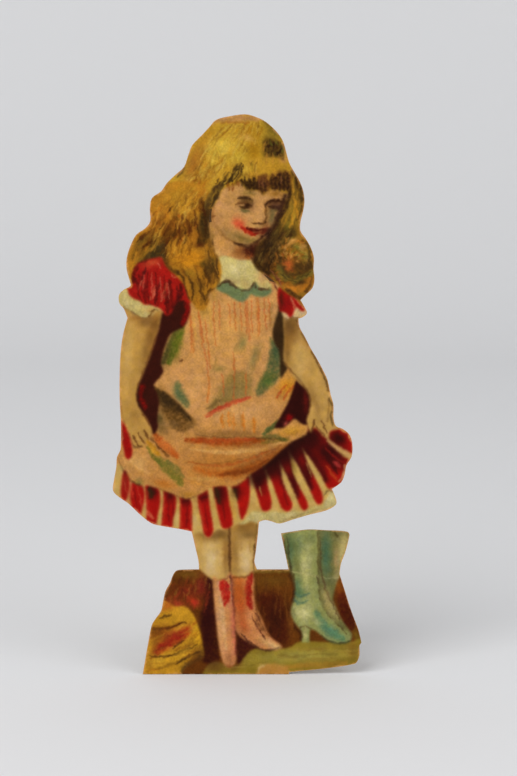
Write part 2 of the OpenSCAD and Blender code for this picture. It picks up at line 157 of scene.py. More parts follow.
# distance of points to an open line, and the share of the line's length that the nearest spot has
def lineDistance(points, line):
    best = np.full(len(points), 1e9)
    along = np.zeros(len(points))
    steps = np.hypot(*np.diff(line, axis=0).T)
    reached, total = 0.0, max(steps.sum(), 1e-9)
    for a, b, size in zip(line[:-1], line[1:], steps):
        if size > 1e-9:
            part = np.clip(((points - a) @ (b - a)) / size**2, 0, 1)
            away = np.hypot(*(points - a - part[:, None] * (b - a)).T)
            closer = away < best
            best = np.where(closer, away, best)
            along = np.where(closer, (reached + part * size) / total, along)
            reached += size
    return best, along


def loopDistance(points, loops):
    return np.min([lineDistance(points, np.vstack((loop, loop[:1])))[0] for loop in loops], axis=0)


def triangulate(points, edges, loops):
    found = delaunay_2d_cdt([Vector(p) for p in points], edges, [], 0, 1e-5)
    spots = np.array([v[:] for v in found[0]])
    tris = np.array(found[2])
    return spots, tris[insideLoops(spots[tris].mean(1), loops)][:, ::-1]


def rimPairs(tris):  # directed edges that only one triangle has
    pairs = set()
    for a, b, c in tris.tolist():
        pairs.update(((a, b), (b, c), (c, a)))
    return sorted(p for p in pairs if p[::-1] not in pairs)


cutLoops = outlineLoops("card_core")
dice = np.random.default_rng(card["seed"])


def smooth(share):
    share = np.clip(share, 0, 1)
    return share * share * (3 - 2 * share)


def mottle(spots, size, seed):  # smooth noise from -1 to 1
    table = np.random.default_rng(seed).uniform(-1, 1, (64, 64))
    place = spots / size
    cell = np.floor(place).astype(int)
    part = smooth(place - cell)
    at = lambda dx, dy: table[(cell[:, 0] + dx) % 64, (cell[:, 1] + dy) % 64]
    upper = at(0, 0) + (at(1, 0) - at(0, 0)) * part[:, 0]
    lower = at(0, 1) + (at(1, 1) - at(0, 1)) * part[:, 0]
    return upper + (lower - upper) * part[:, 1]


# one area as mesh points on its sheet, ready for the brushes
def layOut(name, step=card["meshStep"], flatten=toSheet):
    loops = outlineLoops(name, flatten)
    borders = [finerLoop(loop, step) for loop in loops]
    edges, count = [], 0
    for border in borders:
        ring = np.arange(count, count + len(border))
        edges.extend(zip(ring.tolist(), np.roll(ring, -1).tolist()))
        count += len(border)
    border = np.vstack(borders)
    low, high = border.min(0), border.max(0)
    columns, rows = np.meshgrid(np.arange(low[0], high[0], step),
                                np.arange(low[1], high[1], step * card["rowStep"]))
    columns = columns + (np.arange(len(rows)) % 2 * step / 2)[:, None]  # every other row moves over
    grid = np.column_stack((columns.ravel(), rows.ravel()))
    grid += dice.uniform(-card["shuffle"], card["shuffle"], grid.shape) * step
    grid = grid[insideLoops(grid, loops)]
    grid = grid[loopDistance(grid, loops) > step * card["borderGap"]]
    spots, tris = triangulate(np.vstack((border, grid)), edges, loops)
    depth = toSheet(nodePoints(name))[:, 2]
    waver = [card["waver"] * mottle(spots, 3.1, 41 + k) + card["tremble"] * mottle(spots, 1.4, 43 + k)
             for k in (0, 1)]
    return {
        "loops": loops, "spots": spots, "tris": tris,
        "hand": spots + np.column_stack(waver),     # where an unsteady brush lands
        "dry": 1 + card["dryness"] * (mottle(spots, 1.7, 45) - 0.25),
        "tone": np.zeros((len(spots), 3)), "relief": np.zeros(len(spots)),
        "inset": loopDistance(spots, loops), "rim": loopDistance(spots, cutLoops),
        "emboss": coreFront - depth.min(),
    }


printedAreas = [
    "backdrop", "ground", "drape", "rear_boot", "front_boot", "right_leg", "left_leg", "right_shoe",
    "left_shoe", "petticoat_hem", "flounce", "flounce_stripes", "pinafore_bib", "pinafore_lap",
    "dress_left", "dress_right", "dress_gap", "sash_end", "left_arm", "right_arm", "left_frill",
    "right_frill", "left_sleeve", "right_sleeve", "neck", "collar_trim", "collar", "hair_crown",
    "left_hair", "right_hair", "face", "fringe"]
prints = {name: layOut(name) for name in printedAreas}
# areas that are printed smoothly, and the share of the brush's dryness that they keep
evenAreas = ("left_leg", "right_leg", "left_arm", "right_arm", "ground", "flounce", "flounce_stripes")
evenInk = 0.25
for name in evenAreas:
    prints[name]["dry"] = 1 - evenInk + evenInk * prints[name]["dry"]
print("sheet laid out:", sum(len(p["spots"]) for p in prints.values()), "points")


# brushes: all sizes in pixels, colours as they look on the print, 0 to 255
def bendLine(points, steps=6):  # points as column, row, column, row
    p = np.array(points, float).reshape(-1, 2)
    if len(p) < 3:
        return p
    p = np.vstack((2 * p[0] - p[1], p, 2 * p[-1] - p[-2]))
    s = np.linspace(0, 1, steps, endpoint=False)[:, None]
    bent = []
    for a, b, c, d in zip(p[:-3], p[1:-2], p[2:-1], p[3:]):
        curve = 2 * b + (c - a) * s + (2 * a - 5 * b + 4 * c - d) * s**2 + (3 * b - a - 3 * c + d) * s**3
        bent.append(curve / 2)
    return np.vstack(bent + [p[-2:-1]])


def under(names):
    return [prints[n] for n in ([names] if isinstance(names, str) else names)]


def lay(area, where, share, colour, lift):
    share = np.minimum(share, 1)
    area["tone"][where] += share[:, None] * (np.array(colour, float) - area["tone"][where])
    area["relief"][where] += lift * share


def boxMask(spots, points, reach):
    low, high = np.min(points, axis=0) - reach, np.max(points, axis=0) + reach
    return np.flatnonzero(((spots >= low) & (spots <= high)).all(1))


def fill(names, colour):
    for area in under(names):
        area["tone"][:] = colour


# a stroke along a bent line; soft is the share of the width that fades, taper how much its ends thin
def stroke(names, colour, width, points, strength=0.8, soft=0.6, taper=0.0, lift=0.0):
    line = bendLine(points)
    for area in under(names):
        where = boxMask(area["spots"], line, width + 2)
        if len(where):
            away, along = lineDistance(area["hand"][where], line)
            half = width / 2 * (1 - taper * (2 * along - 1) ** 2)
            share = smooth((half * (1 + soft) - away) / (2 * half * soft + 1e-6))
            lay(area, where, strength * share * area["dry"][where], colour, lift)


def strokes(names, rows):
    for row in rows:
        stroke(names, *row)


# strokes of one ink and width
def ticks(names, colour, width, lines, strength=0.8, soft=0.7, taper=0.6):
    for line in lines:
        stroke(names, colour, width, line, strength, soft, taper)


# an airbrushed oval
def wash(names, colour, centre, radii, turn=0.0, strength=0.6, lift=0.0):
    radii = np.array(radii, float)
    side = np.array((math.cos(math.radians(turn)), math.sin(math.radians(turn))))
    for area in under(names):
        where = boxMask(area["spots"], [centre], radii.max() * 1.9)
        if len(where):
            off = area["hand"][where] - centre
            out = np.hypot((off @ side) / radii[0], (off @ np.array((-side[1], side[0]))) / radii[1])
            share = strength * np.exp(-1.3 * out**2) * (0.65 + 0.35 * area["dry"][where])
            lay(area, where, share, colour, lift)


def washes(names, rows):
    for row in rows:
        wash(names, *row)


# a flat patch with a closed, bent outline
def patch(names, colour, outline, strength=0.85, soft=1.5, lift=0.0):
    ring = np.array(outline, float).reshape(-1, 2)
    ring = bendLine(np.vstack((ring, ring[:1])), 4)[:-1]
    for area in under(names):
        where = boxMask(area["spots"], ring, soft + 2)
        if len(where):
            spots = area["hand"][where]
            away = loopDistance(spots, [ring])
            inner = np.where(insideLoops(spots, [ring]), away, -away)
            lay(area, where, strength * smooth(0.5 + inner / (2 * soft)) * area["dry"][where], colour, lift)


# many fine strokes between two guide lines; cut is their length, in fourteenths of the guides
def strands(names, colours, one, other, count, width=1.2, strength=0.4, wave=0.6, lift=0.0, seed=1, cut=0):
    pick = np.random.default_rng(seed)
    one, other = bendLine(one, 5), bendLine(other, 5)
    steps = np.linspace(0, 1, 14)
    one = np.column_stack([np.interp(steps, np.linspace(0, 1, len(one)), one[:, k]) for k in (0, 1)])
    other = np.column_stack([np.interp(steps, np.linspace(0, 1, len(other)), other[:, k]) for k in (0, 1)])
    for i in range(count):
        share = (i + pick.uniform(0.1, 0.9)) / count
        line = one + (other - one) * share
        line = line + wave * np.column_stack((np.sin(steps * 9 + pick.uniform(0, 6)),
                                              np.cos(steps * 7 + pick.uniform(0, 6))))
        start, end = int(pick.integers(0, 6)), int(pick.integers(9, 15))
        if cut:
            start = int(pick.integers(0, 14 - cut // 2))
            end = start + int(pick.integers(cut // 2 + 1, cut + 2))
        colour = colours[int(pick.integers(len(colours)))]
        stroke(names, colour, width * pick.uniform(0.7, 1.4), line[start:end],
               strength * pick.uniform(0.6, 1.2), 0.7, 0.6, lift)


# hair: golden crown, a fringe with dark roots, and long waves to both shoulders
hair = {
    "gold": (202, 166, 56), "yellow": (212, 184, 74), "pale": (222, 200, 112), "ochre": (188, 136, 38),
    "orange": (200, 128, 36), "brown": (146, 92, 26), "deep": (96, 60, 22), "dark": (58, 40, 20),
    "black": (42, 26, 18), "olive": (132, 112, 40), "rust": (168, 84, 26), "moss": (120, 112, 56),
    "fringe": (196, 154, 50), "left": (188, 132, 40), "right": (156, 116, 38),  # flat tints
}


def hairInks(*names):
    return [hair[name] for name in names]


def printCrown():
    at = "hair_crown"
    fill(at, hair["gold"])
    washes(at, (
        (hair["ochre"], (206, 142), (9, 22), 28, 0.7), ((184, 124, 52), (194, 164), (9, 22), 18, 0.85),
        ((190, 126, 34), (202, 182), (9, 12), 10, 0.8), ((176, 126, 26), (248, 130), (8, 6), 0, 0.8),
        ((168, 122, 22), (254, 150), (8, 20), 0, 0.85), (hair["olive"], (274, 131), (12, 11), 40, 0.95),
        ((110, 90, 34), (268, 123), (12, 3.4), 36, 0.8)))
    strands(at, hairInks("brown", "ochre", "pale", "yellow", "orange"),
        [232, 122, 214, 132, 201, 149, 192, 168, 178, 184],
        [247, 122, 242, 138, 234, 152, 226, 166, 214, 182], 150, 1.9, 0.34, 0.9, -0.00003, 3, 5)
    strands(at, hairInks("brown", "rust", "deep"), [204, 148, 195, 164, 182, 182],
        [222, 160, 214, 172, 206, 192], 26, 1.4, 0.5, 0.6, -0.00004, 5, 4)
    # dark knot at the parting
    patch(at, (86, 62, 24), [263, 140, 271, 138, 280, 142, 285, 152, 282, 158, 272, 160, 264, 157], 0.85, 3)
    strokes(at, (
        ((190, 142, 94), 5, [214, 121, 222, 119, 234, 118, 246, 117, 258, 120], 0.8, 0.8),
        ((160, 92, 24), 2.6, [222, 123, 231, 121.8, 240, 122.4, 250, 123], 0.7, 0.9, 0.4),
        (hair["dark"], 3.2, [184, 168, 180.5, 173.5, 177, 176.5], 0.85, 0.7, 0.4)))


def printFringe():
    at = "fringe"
    fill(at, hair["fringe"])
    strands(at, hairInks("brown", "deep", "pale", "olive"), [240, 162, 240, 172, 243, 182],
        [260, 160, 258, 172, 258, 184], 34, 1.6, 0.45, 0.4, 0, 7, 6)
    # shadow under the hair, from the parting down the temple
    strands(at, hairInks("black", "dark", "moss"), [236, 165, 228, 178, 216, 186, 211, 198, 206, 206],
        [243, 166, 238, 179, 224, 187, 217, 199, 212, 208], 26, 1.7, 0.75, 0.3, 0, 11, 6)
    strokes(at, (
        (hair["dark"], 2, [237, 163, 233.4, 172], 0.8, 0.7, 0.4),
        ((84, 52, 16), 3, [232, 184.4, 238, 182, 242, 180], 0.85, 0.7, 0.4)))
    patch(at, (60, 38, 16), [240, 180.5, 248, 181, 255, 177, 259, 182, 258, 189, 251, 190.6, 245, 187.5],
        0.92, 2)
    patch(at, (100, 56, 28), [257, 177, 264, 174, 270, 177, 271, 187, 267, 193, 261, 194, 257, 189], 0.9, 2)
    patch(at, (74, 40, 24), [271, 175, 280, 171, 289, 172, 292, 180, 290, 191, 281, 190, 272, 189], 0.9,
        2.4)


def printLeftHair():
    at = "left_hair"
    fill(at, hair["left"])
    wash(at, (132, 104, 36), (188, 273), (12, 5), 10, 0.7)
    strands(at, hairInks("brown", "ochre", "yellow", "deep", "orange", "pale"),
        [182, 184, 166, 196, 156, 210, 152, 222], [208, 190, 204, 200, 198, 212, 196, 224], 110, 1.9, 0.42,
        0.9, -0.00003, 12, 5)
    strands(at, hairInks("deep", "brown", "rust", "ochre", "dark"), [156, 216, 158, 226, 150, 238, 140, 250],
        [200, 214, 198, 224, 190, 236, 186, 244], 90, 2, 0.55, 0.9, -0.00004, 13, 5)
    strands(at, hairInks("brown", "deep", "orange", "ochre"), [170, 262, 178, 270, 186, 288, 194, 306],
        [214, 262, 216, 276, 214, 290, 206, 306], 70, 1.8, 0.5, 0.7, -0.00003, 14, 5)
    strands(at, hairInks("deep", "olive", "ochre", "dark"), [152, 226, 138, 240, 130, 262],
        [170, 232, 158, 246, 140, 262], 46, 1.7, 0.5, 0.6, -0.00003, 15, 5)
    for width, line in (
            (2.6, [200, 200, 200, 206, 201.5, 212]), (2, [204, 201, 203, 209]),
            (3.2, [175.5, 217, 173, 223, 169, 229]), (3.2, [186, 220, 188, 226, 189.5, 233]),
            (2.2, [193, 219, 192, 227]), (2.4, [151, 218, 156, 212]), (2.6, [152, 230, 146, 235, 137, 242])):
        stroke(at, (84, 42, 14), width, line, 0.8, 0.9, 0.5, -0.00004)
    stroke(at, (80, 52, 20), 4, [170, 229, 166, 238, 163, 248, 164, 258, 169, 268, 178, 273], 0.8, 0.9)
    # shadow behind the cheek
    stroke(at, (58, 40, 18), 9.5, [208, 206, 205, 218, 205, 230, 202, 242], 0.92, 0.5, 0.1, -0.00006)
    wash(at, (90, 36, 14), (200, 245), (6, 3.4), 0, 0.8)
    patch(at, (76, 62, 28), [204, 259, 211, 257, 216, 262, 216, 270, 211, 273, 204, 268, 199, 263], 0.85,
        2.6)
    for line in (
            [206, 268, 206, 276, 210, 282], [196, 279, 200, 288, 201, 296], [190, 282, 193.4, 290, 192, 300],
            [203, 276, 205, 286], [208, 292, 214, 288]):
        stroke(at, (84, 50, 16), 2.4, line, 0.75, 0.9, 0.4, -0.00003)
    stroke(at, (62, 40, 18), 3, [178, 272, 183, 278, 185, 288, 188, 300], 0.8, 0.8)
    patch(at, (60, 50, 32), [146, 256, 153, 250, 162, 242, 167, 247, 165, 258, 156, 260, 147, 263], 0.9,
        2.6, -0.00004)
    stroke(at, (76, 48, 20), 3, [147, 259, 139, 264, 134, 271, 132, 282], 0.8, 0.8)


def printRightHair():
    at = "right_hair"
    fill(at, hair["right"])
    stroke(at, (62, 44, 20), 7.5, [290, 168, 296, 176, 301, 188, 303, 200], 0.92, 0.5, 0.2)
    patch(at, (74, 58, 26),
        [280, 226, 292, 226, 298, 233, 292, 239, 284, 246, 275, 250, 270, 240, 274, 230], 0.9, 3)
    patch(at, (62, 40, 20),
        [258, 239, 272, 232, 276, 244, 280, 256, 278, 270, 270, 276, 260, 270, 251, 262, 254, 248], 0.94, 3)
    # hair along the cheek
    stroke(at, (50, 30, 20), 6, [289, 189, 286.5, 200, 282, 210, 277, 222, 272, 234, 264, 246], 0.92, 0.5,
        0.2, -0.00006)
    # the big curl
    for i in range(46):
        turn, radius = 2.4 * i, 3.0 + 0.36 * i
        arc = np.linspace(0, 5 / (radius * 0.5 + 3), 5)
        ring = [(292 + radius * 0.95 * math.cos(turn + a), 261 + radius * 0.9 * math.sin(turn + a))
                for a in arc]
        ink = hair[("deep", "rust", "olive", "dark", "orange", "brown")[i % 6]]
        stroke(at, ink, 2.1, ring, 0.5, 0.9, 0.6, -0.00004)


printCrown()
printFringe()
printLeftHair()
printRightHair()


# face, neck and arms: warm skin with olive shade
skin = {
    "face": (211, 162, 106), "neck": (208, 158, 100), "leftArm": (204, 163, 90), "rightArm": (205, 167, 98),
    "armShade": (150, 106, 50), "leftLeg": (208, 174, 106), "rightLeg": (207, 168, 96),
}


def printFace():
    at = "face"
    fill(at, skin["face"])
    washes(at, (
        ((182, 134, 84), (218, 220), (5, 8), 10), ((150, 116, 58), (248, 194), (10, 3.2), 6, 0.8),
        ((158, 112, 44), (276, 194), (9, 4), 0, 0.9), ((150, 108, 62), (283, 197), (3, 5), 20, 0.8),
        ((140, 106, 58), (271, 215), (4, 12), 8, 0.95), ((74, 46, 34), (281, 213), (3, 9), 20, 0.85),
        ((160, 124, 66), (243, 238), (13, 4), 20, 0.85), ((184, 134, 82), (228, 228), (7, 5), 30),
        ((150, 96, 52), (213, 214), (2.4, 12))))
    stroke(at, (120, 78, 38), 2.2, [211, 217, 215, 216.4], 0.7, 0.9)
    # left brow and eye
    stroke(at, (78, 50, 22), 3.6, [238, 197.8, 243, 197.8, 248, 198.6, 253, 200.6], 0.85, 0.8, 0.5)
    washes(at, (
        ((112, 88, 44), (252, 200), (4, 2), 20), ((112, 72, 34), (245.4, 206), (7.5, 3.4), 8, 0.75)))
    stroke(at, (84, 46, 20), 2.4, [238, 204.4, 242, 202.8, 247, 203.2, 251.5, 206], 0.8, 0.8, 0.4)
    wash(at, (62, 30, 14), (247.4, 205.8), (3.2, 2.6), 20, 0.9)
    strokes(at, (
        ((80, 54, 24), 2.4, [240.5, 207, 244, 208.6, 249, 208.2], 0.8, 0.9, 0.4),
        ((104, 86, 48), 2.6, [241.4, 209.4, 245, 211.4, 249, 211.4], 0.75, 1, 0.4)))
    # right eye, looking down
    wash(at, (112, 72, 44), (275, 205), (8.5, 5), 0, 0.85)
    strokes(at, (
        ((64, 32, 16), 3.2, [266.4, 206.4, 268.4, 202.8, 273, 201, 279, 201.2, 284, 204], 0.88, 0.8, 0.2),
        ((60, 26, 14), 2.8, [269, 207, 274, 207.6, 280, 207, 284, 205.6], 0.88, 0.8, 0.3)))
    wash(at, (78, 64, 38), (276, 210), (5, 1.8), 0, 0.75)
    # nose
    strokes(at, (
        ((128, 84, 44), 2, [266.2, 204, 265.8, 211, 266.2, 217, 265.4, 222], 0.8, 0.9),
        ((150, 106, 64), 2.4, [252, 223, 256, 223.2, 260, 222.8], 0.7, 0.9, 0.5),
        ((88, 52, 24), 2.6, [257.6, 223.2, 261, 224.2, 265, 222.4], 0.82, 0.8, 0.4)))
    # cheek and mouth
    washes(at, (
        ((218, 124, 80), (239, 220), (7, 5), 20, 0.75), ((216, 76, 52), (239, 225), (6.5, 4), 30, 0.9)))
    strokes(at, (
        ((176, 30, 16), 4.6, [242, 227.4, 246.5, 230, 251, 232.4, 256.6, 234], 0.88, 0.8, 0.4, 0.00005),
        ((136, 22, 12), 3.4, [249, 232, 254, 234, 258, 234], 0.7, 0.9, 0.4),
        ((84, 18, 12), 2.4, [246, 227.6, 250, 229.4, 256, 230, 262, 229.6, 268, 228.6], 0.86, 0.8, 0.3)))
    washes(at, (
        ((104, 34, 24), (266, 230.4), (6, 3.4), -6, 0.9),
        ((126, 70, 44), (262, 236.4), (5, 2.6), -30, 0.8)))
    # jaw
    strokes((at, "neck"), (
        ((116, 70, 34), 2.8, [222, 235, 227, 239, 233, 242.4, 240, 245], 0.75, 0.9, 0.3),
        ((58, 26, 14), 3.4, [235, 243.6, 242, 245.8, 250, 246, 258, 242, 264, 237], 0.88, 0.8, 0.3)))


def printNeck():
    at = "neck"
    fill(at, skin["neck"])
    wash(at, (150, 88, 40), (240, 252), (5, 7), 10, 0.8)
    patch(at, (74, 26, 16), [241, 246, 250, 246, 262, 243, 264, 252, 257, 259, 249, 257, 243, 253], 0.92, 3)


collarInk = {"cream": (215, 207, 146), "teal": (114, 136, 100), "line": (62, 36, 22)}


def printCollar():
    at = "collar"
    fill(at, collarInk["cream"])
    wash(at, (178, 150, 100), (233, 281), (10, 3), 10, 0.65)
    stroke(at, (170, 112, 84), 1.8, [259, 270, 265, 276, 271, 283], 0.7)
    trim = "collar_trim"
    fill(trim, collarInk["teal"])
    both = (at, trim, "left_hair", "pinafore_bib")
    strokes(both, (
        (collarInk["line"], 2.8, [218, 286.5, 222, 283.4, 227, 282.4, 232, 284.6, 237, 288.4], 0.85, 0.5,
         0.5),
        (collarInk["line"], 2.2, [240, 289.8, 246, 290.4, 251, 288, 253.5, 282.6], 0.8, 0.5, 0.3),
        ((92, 64, 34), 1.9, [259, 288.8, 264, 290.2, 269, 289], 0.75)))


def printLeftArm():
    at = "left_arm"
    fill(at, skin["leftArm"])
    washes(at, (
        (skin["armShade"], (152, 336), (6, 24), 8, 0.85), ((128, 86, 40), (156, 324), (5, 12), 0, 0.7),
        ((164, 112, 58), (140, 318), (14, 3), 0, 0.7)))
    strokes(at, (
        ((96, 50, 26), 2.2, [158, 333, 153, 347, 147, 363, 140, 381, 137, 396, 142, 411, 150, 424], 0.65,
         0.7),
        ((154, 104, 56), 1.6, [121, 398, 121.5, 410, 125, 424], 0.6)))
    for line in (
            [133, 435, 135.5, 441, 139, 446], [138, 433, 141, 439, 144.5, 444],
            [144.5, 430, 146.5, 435, 149, 440]):
        stroke(at, (98, 58, 28), 1.9, line, 0.85, 0.5, 0.3, -0.00008)
        stroke(at, (206, 160, 98), 1.4, np.reshape(line, (-1, 2)) + (2.4, -1), 0.6)
    strokes(at, (
        ((74, 42, 20), 2.4, [131, 444, 136, 447.6, 141, 447.2]),
        ((150, 84, 48), 1.6, [128, 432, 132, 442], 0.6)))


def printRightArm():
    at = "right_arm"
    fill(at, skin["rightArm"])
    washes(at, (
        (skin["armShade"], (292, 330), (10, 15), 10, 0.9), ((160, 112, 56), (304, 342), (8, 5), 40),
        ((132, 92, 40), (287, 342), (3, 20), 0, 0.7)))
    strokes(at, (
        ((84, 56, 28), 2.2, [296.5, 320, 300, 329, 306, 340, 312, 351, 318.5, 363, 324, 376, 328.6, 390],
         0.85, 0.5),
        ((88, 66, 34), 2.4, [329.4, 398, 332, 408, 331.6, 418, 332.4, 425], 0.8, 0.5),
        ((120, 86, 46), 1.6, [328.6, 400, 328.4, 412, 327.6, 422], 0.5),
        ((98, 60, 28), 2.2, [284, 363, 291, 371, 299, 380, 306, 389, 310, 399, 308.6, 410, 306.4, 420, 309,
         432], 0.75),
        ((90, 52, 26), 2, [314, 420, 312.8, 426, 311, 433], 0.85, 0.5),
        ((100, 62, 32), 1.9, [322, 421, 324.5, 427, 326.5, 433], 0.8, 0.5),
        ((110, 72, 38), 1.7, [316, 426, 320, 431, 325, 436.5], 0.8, 0.5)))


# sleeves and frills
sleeveInk = {"left": (178, 30, 24), "right": (172, 24, 20), "dark": (78, 18, 14), "pink": (218, 128, 92),
             "orange": (206, 98, 58), "leftFrill": (208, 196, 136), "rightFrill": (222, 196, 158)}


def printLeftSleeve():
    at = "left_sleeve"
    fill(at, sleeveInk["left"])
    wash(at, sleeveInk["orange"], (152, 263), (11, 4.5), -15, 0.8)
    for width, line in (
            (4.6, [138, 268, 134, 274, 133, 282]), (4.6, [145, 284, 144, 292, 146, 303]),
            (4.6, [170, 281, 169.5, 292, 167, 304, 168, 313]), (4, [181, 284, 181, 294, 178, 303])):
        stroke(at, sleeveInk["dark"], width, line, 0.82, 0.6, 0.4, -0.0001)
    for width, line in (
            (2.4, [155, 286, 153.4, 292, 153, 298]), (2.2, [166.4, 283, 165, 291, 164.4, 299]),
            (2, [150, 296, 150.4, 300]), (1.8, [171, 274, 176, 278])):
        stroke(at, sleeveInk["pink"], width, line, 0.75, 0.6, 0.4)
    wash(at, (66, 16, 14), (174, 307), (6, 7), -20, 0.85)
    frill = "left_frill"
    fill(frill, sleeveInk["leftFrill"])
    wash(frill, (198, 150, 84), (152, 311), (9, 4), 10, 0.75)
    strokes(frill, (
        ((96, 60, 32), 2.6, [124, 306.5, 128, 310.6, 133, 313, 139, 316.4], 0.75, 0.6, 0.3),
        ((126, 88, 44), 1.8, [139, 316.4, 146, 318, 151, 315], 0.7),
        ((110, 70, 30), 1.9, [154, 310, 151.6, 313.6, 149.4, 317], 0.8, 0.6, 0, -0.00008)))


def printRightSleeve():
    at = "right_sleeve"
    fill(at, sleeveInk["right"])
    wash(at, (74, 28, 16), (281.5, 300), (3, 10), 0, 0.9)
    strokes(at, (
        ((218, 126, 100), 2.8, [290.6, 298, 293.4, 304, 295, 309], 0.85, 0.5, 0.4),
        ((226, 176, 140), 2.2, [296, 298.5, 300, 304, 303, 308], 0.7)))
    frill = "right_frill"
    fill(frill, sleeveInk["rightFrill"])
    stroke(frill, (98, 66, 34), 1.9, [283, 318, 288, 319.4, 293, 317, 298, 318.4], 0.75)


printFace()
printNeck()
printCollar()
printLeftArm()
printRightArm()
printLeftSleeve()
printRightSleeve()


# pinafore: peach cotton with red pleat lines and green shade
pinaforeInk = {
    "bib": (214, 162, 106), "lap": (208, 155, 94), "orange": (202, 112, 44), "line": (200, 84, 44),
    "grey": (136, 124, 74), "brown": (94, 64, 24), "rust": (160, 66, 18),
}


def printBib():
    at = "pinafore_bib"
    ink = pinaforeInk
    fill(at, ink["bib"])
    for width, tone, line in (
            (3.2, "orange", [191, 316, 192, 332, 194, 352]),
            (2, "line", [198.5, 311, 200.5, 328, 203, 344, 206, 358, 208, 372]),
            (2.2, "line", [246.6, 300, 248, 318, 250, 342]),
            (2.8, "orange", [256.4, 299, 258, 318, 258.4, 336])):
        stroke(at, ink[tone], width, line, 0.55, 0.8, 0.4, -0.00007)
    # folds where the skirt is gathered up
    washes(at, (
        (ink["grey"], (242.5, 343), (4.5, 9), 0, 0.8), (ink["grey"], (219, 369), (8, 3.4), -8, 0.7),
        ((142, 120, 74), (254, 360), (3, 16), 4, 0.65)))
    patch(at, (138, 118, 66),
        [226, 374, 238, 371, 250, 373, 252, 386, 250, 396, 236, 402, 222, 406, 210, 412, 208, 406, 218,
         392],
        0.75, 4)
    stroke(at, ink["orange"], 2.4, [208, 372, 209, 386, 207, 402], 0.65, 0.8, 0.4, -0.00006)
    # green edges
    strokes(at, (
        ((86, 104, 26), 10, [183, 324, 177, 342, 169, 362], 0.9, 0.6, 0.4),
        ((62, 64, 24), 4, [177, 328, 169, 344, 163, 362], 0.7, 0.7)))
    wash(at, (134, 118, 50), (178, 356), (4, 10), 20, 0.5)
    patch(at, (86, 100, 62),
        [271, 338, 279, 344, 285, 360, 282, 374, 273, 384, 265, 392, 258, 396, 256, 388, 264, 374, 269,
         356],
        0.88, 2.6)
    # left side above the gathered hem
    wash(at, (172, 128, 60), (162, 388), (8, 4), 25)
    strokes(at, (
        ((106, 118, 78), 9, [177, 384, 181, 394, 187, 406], 0.8, 0.7, 0.4, -0.00006),
        ((112, 68, 40), 2.4, [180, 361, 182, 361], 0.85)))
    stroke((at, "pinafore_lap"), (184, 66, 40), 3.2, [206, 415.5, 216, 410, 228, 405, 240, 400, 250,
        397.6], 0.8, 0.6, 0.3, -0.00006)


def printLap():
    at = "pinafore_lap"
    ink = pinaforeInk
    fill(at, ink["lap"])
    wash(at, (216, 168, 118), (246, 412), (30, 10), -4, 0.7, 0.00006)
    for x, y in ((222, 422), (231, 420), (242, 421), (254, 426)):
        stroke(at, (200, 128, 44), 3.2, [(x, y - 6), (x + 0.8, y + 4)], 0.6, 0.8)
    wash(at, (160, 114, 66), (236, 433), (30, 4), 0, 0.7)
    stroke(at, ink["rust"], 8, [186, 440, 204, 440.6, 226, 442.6, 246, 442, 264, 440], 0.88, 0.6, 0.5,
        -0.00012)
    wash(at, (178, 128, 40), (188, 494), (9, 3.5), 0, 0.7)
    # gathered left side
    patch(at, ink["brown"],
        [152, 386, 163, 390, 175, 400, 186, 410, 194, 420, 190, 428, 180, 431, 170, 424, 162, 410, 156,
         398],
        0.88, 3, -0.00012)
    strokes(at, (
        ((198, 140, 26), 5.4, [147, 441, 152, 447, 159, 454], 0.85, 0.6, 0.3),
        ((96, 56, 18), 2.4, [150.5, 436, 156, 443, 162, 450, 168, 456]),
        ((188, 84, 28), 7.4, [156, 436, 163, 444, 171, 451, 177, 456], 0.9, 0.6, 0.3, -0.00008)))
    for width, tone, line in (
            (4.4, (112, 110, 38), [147, 447, 154, 457, 161, 464]),
            (10, (104, 116, 46), [158, 459, 167, 468, 176, 477, 181, 483]),
            (6, (112, 122, 64), [168, 462, 177, 469, 183, 476])):
        stroke(at, tone, width, line, 0.9, 0.5, 0.4, -0.00006)
    # left lobe
    washes(at, (
        ((204, 122, 44), (164, 484), (12, 5), 18, 0.8), ((124, 122, 66), (139, 482), (4.5, 3.6), 20, 0.75)))
    # right corner, turned up by the hand
    strokes(at, (
        ((88, 112, 66), 5.4, [276, 423, 270, 429, 264, 434], 0.85, 0.6, 0.4),
        ((92, 76, 30), 4, [258, 438, 270, 438.6, 284, 439], 0.8, 0.7, 0.3),
        ((112, 104, 40), 3, [262, 442.6, 274, 441.6, 288, 439], 0.75, 0.7)))
    wash(at, (200, 142, 42), (292, 431), (13, 5.4), -10, 0.9, 0.00006)
    stroke((at, "flounce_stripes", "flounce"), (58, 34, 18), 2.4, [130, 480, 142, 486.6, 158, 490, 172,
        495, 186, 499.4, 200, 495.6, 214, 488.4, 232, 487.6, 245, 481, 258, 471, 272, 460, 288, 447, 304,
        436], 0.6, 0.7)


# dress under the pinafore, seen at the arms
dressInk = {"left": (58, 22, 16), "right": (58, 40, 22), "gap": (50, 16, 14), "sash": (160, 20, 18),
            "red": (140, 18, 14)}


def printDress():
    at = "dress_left"
    fill(at, dressInk["left"])
    strokes(at, (
        (dressInk["red"], 6, [187, 301, 187.6, 312, 183, 324], 0.85, 0.6, 0.2),
        (dressInk["red"], 4.4, [143, 386, 141, 396, 145, 408], 0.75, 0.7)))
    fill("dress_right", dressInk["right"])
    at = "dress_gap"
    fill(at, dressInk["gap"])
    washes(at, (
        ((112, 26, 22), (306, 400), (3, 14), 0, 0.7), ((170, 16, 18), (289, 418), (4.5, 3.4), -35, 0.85),
        ((204, 92, 84), (285.6, 423.6), (3, 2.2), -35, 0.85)))
    at = "sash_end"
    fill(at, dressInk["sash"])
    wash(at, (150, 92, 64), (121.6, 434), (2, 9), 0, 0.7)


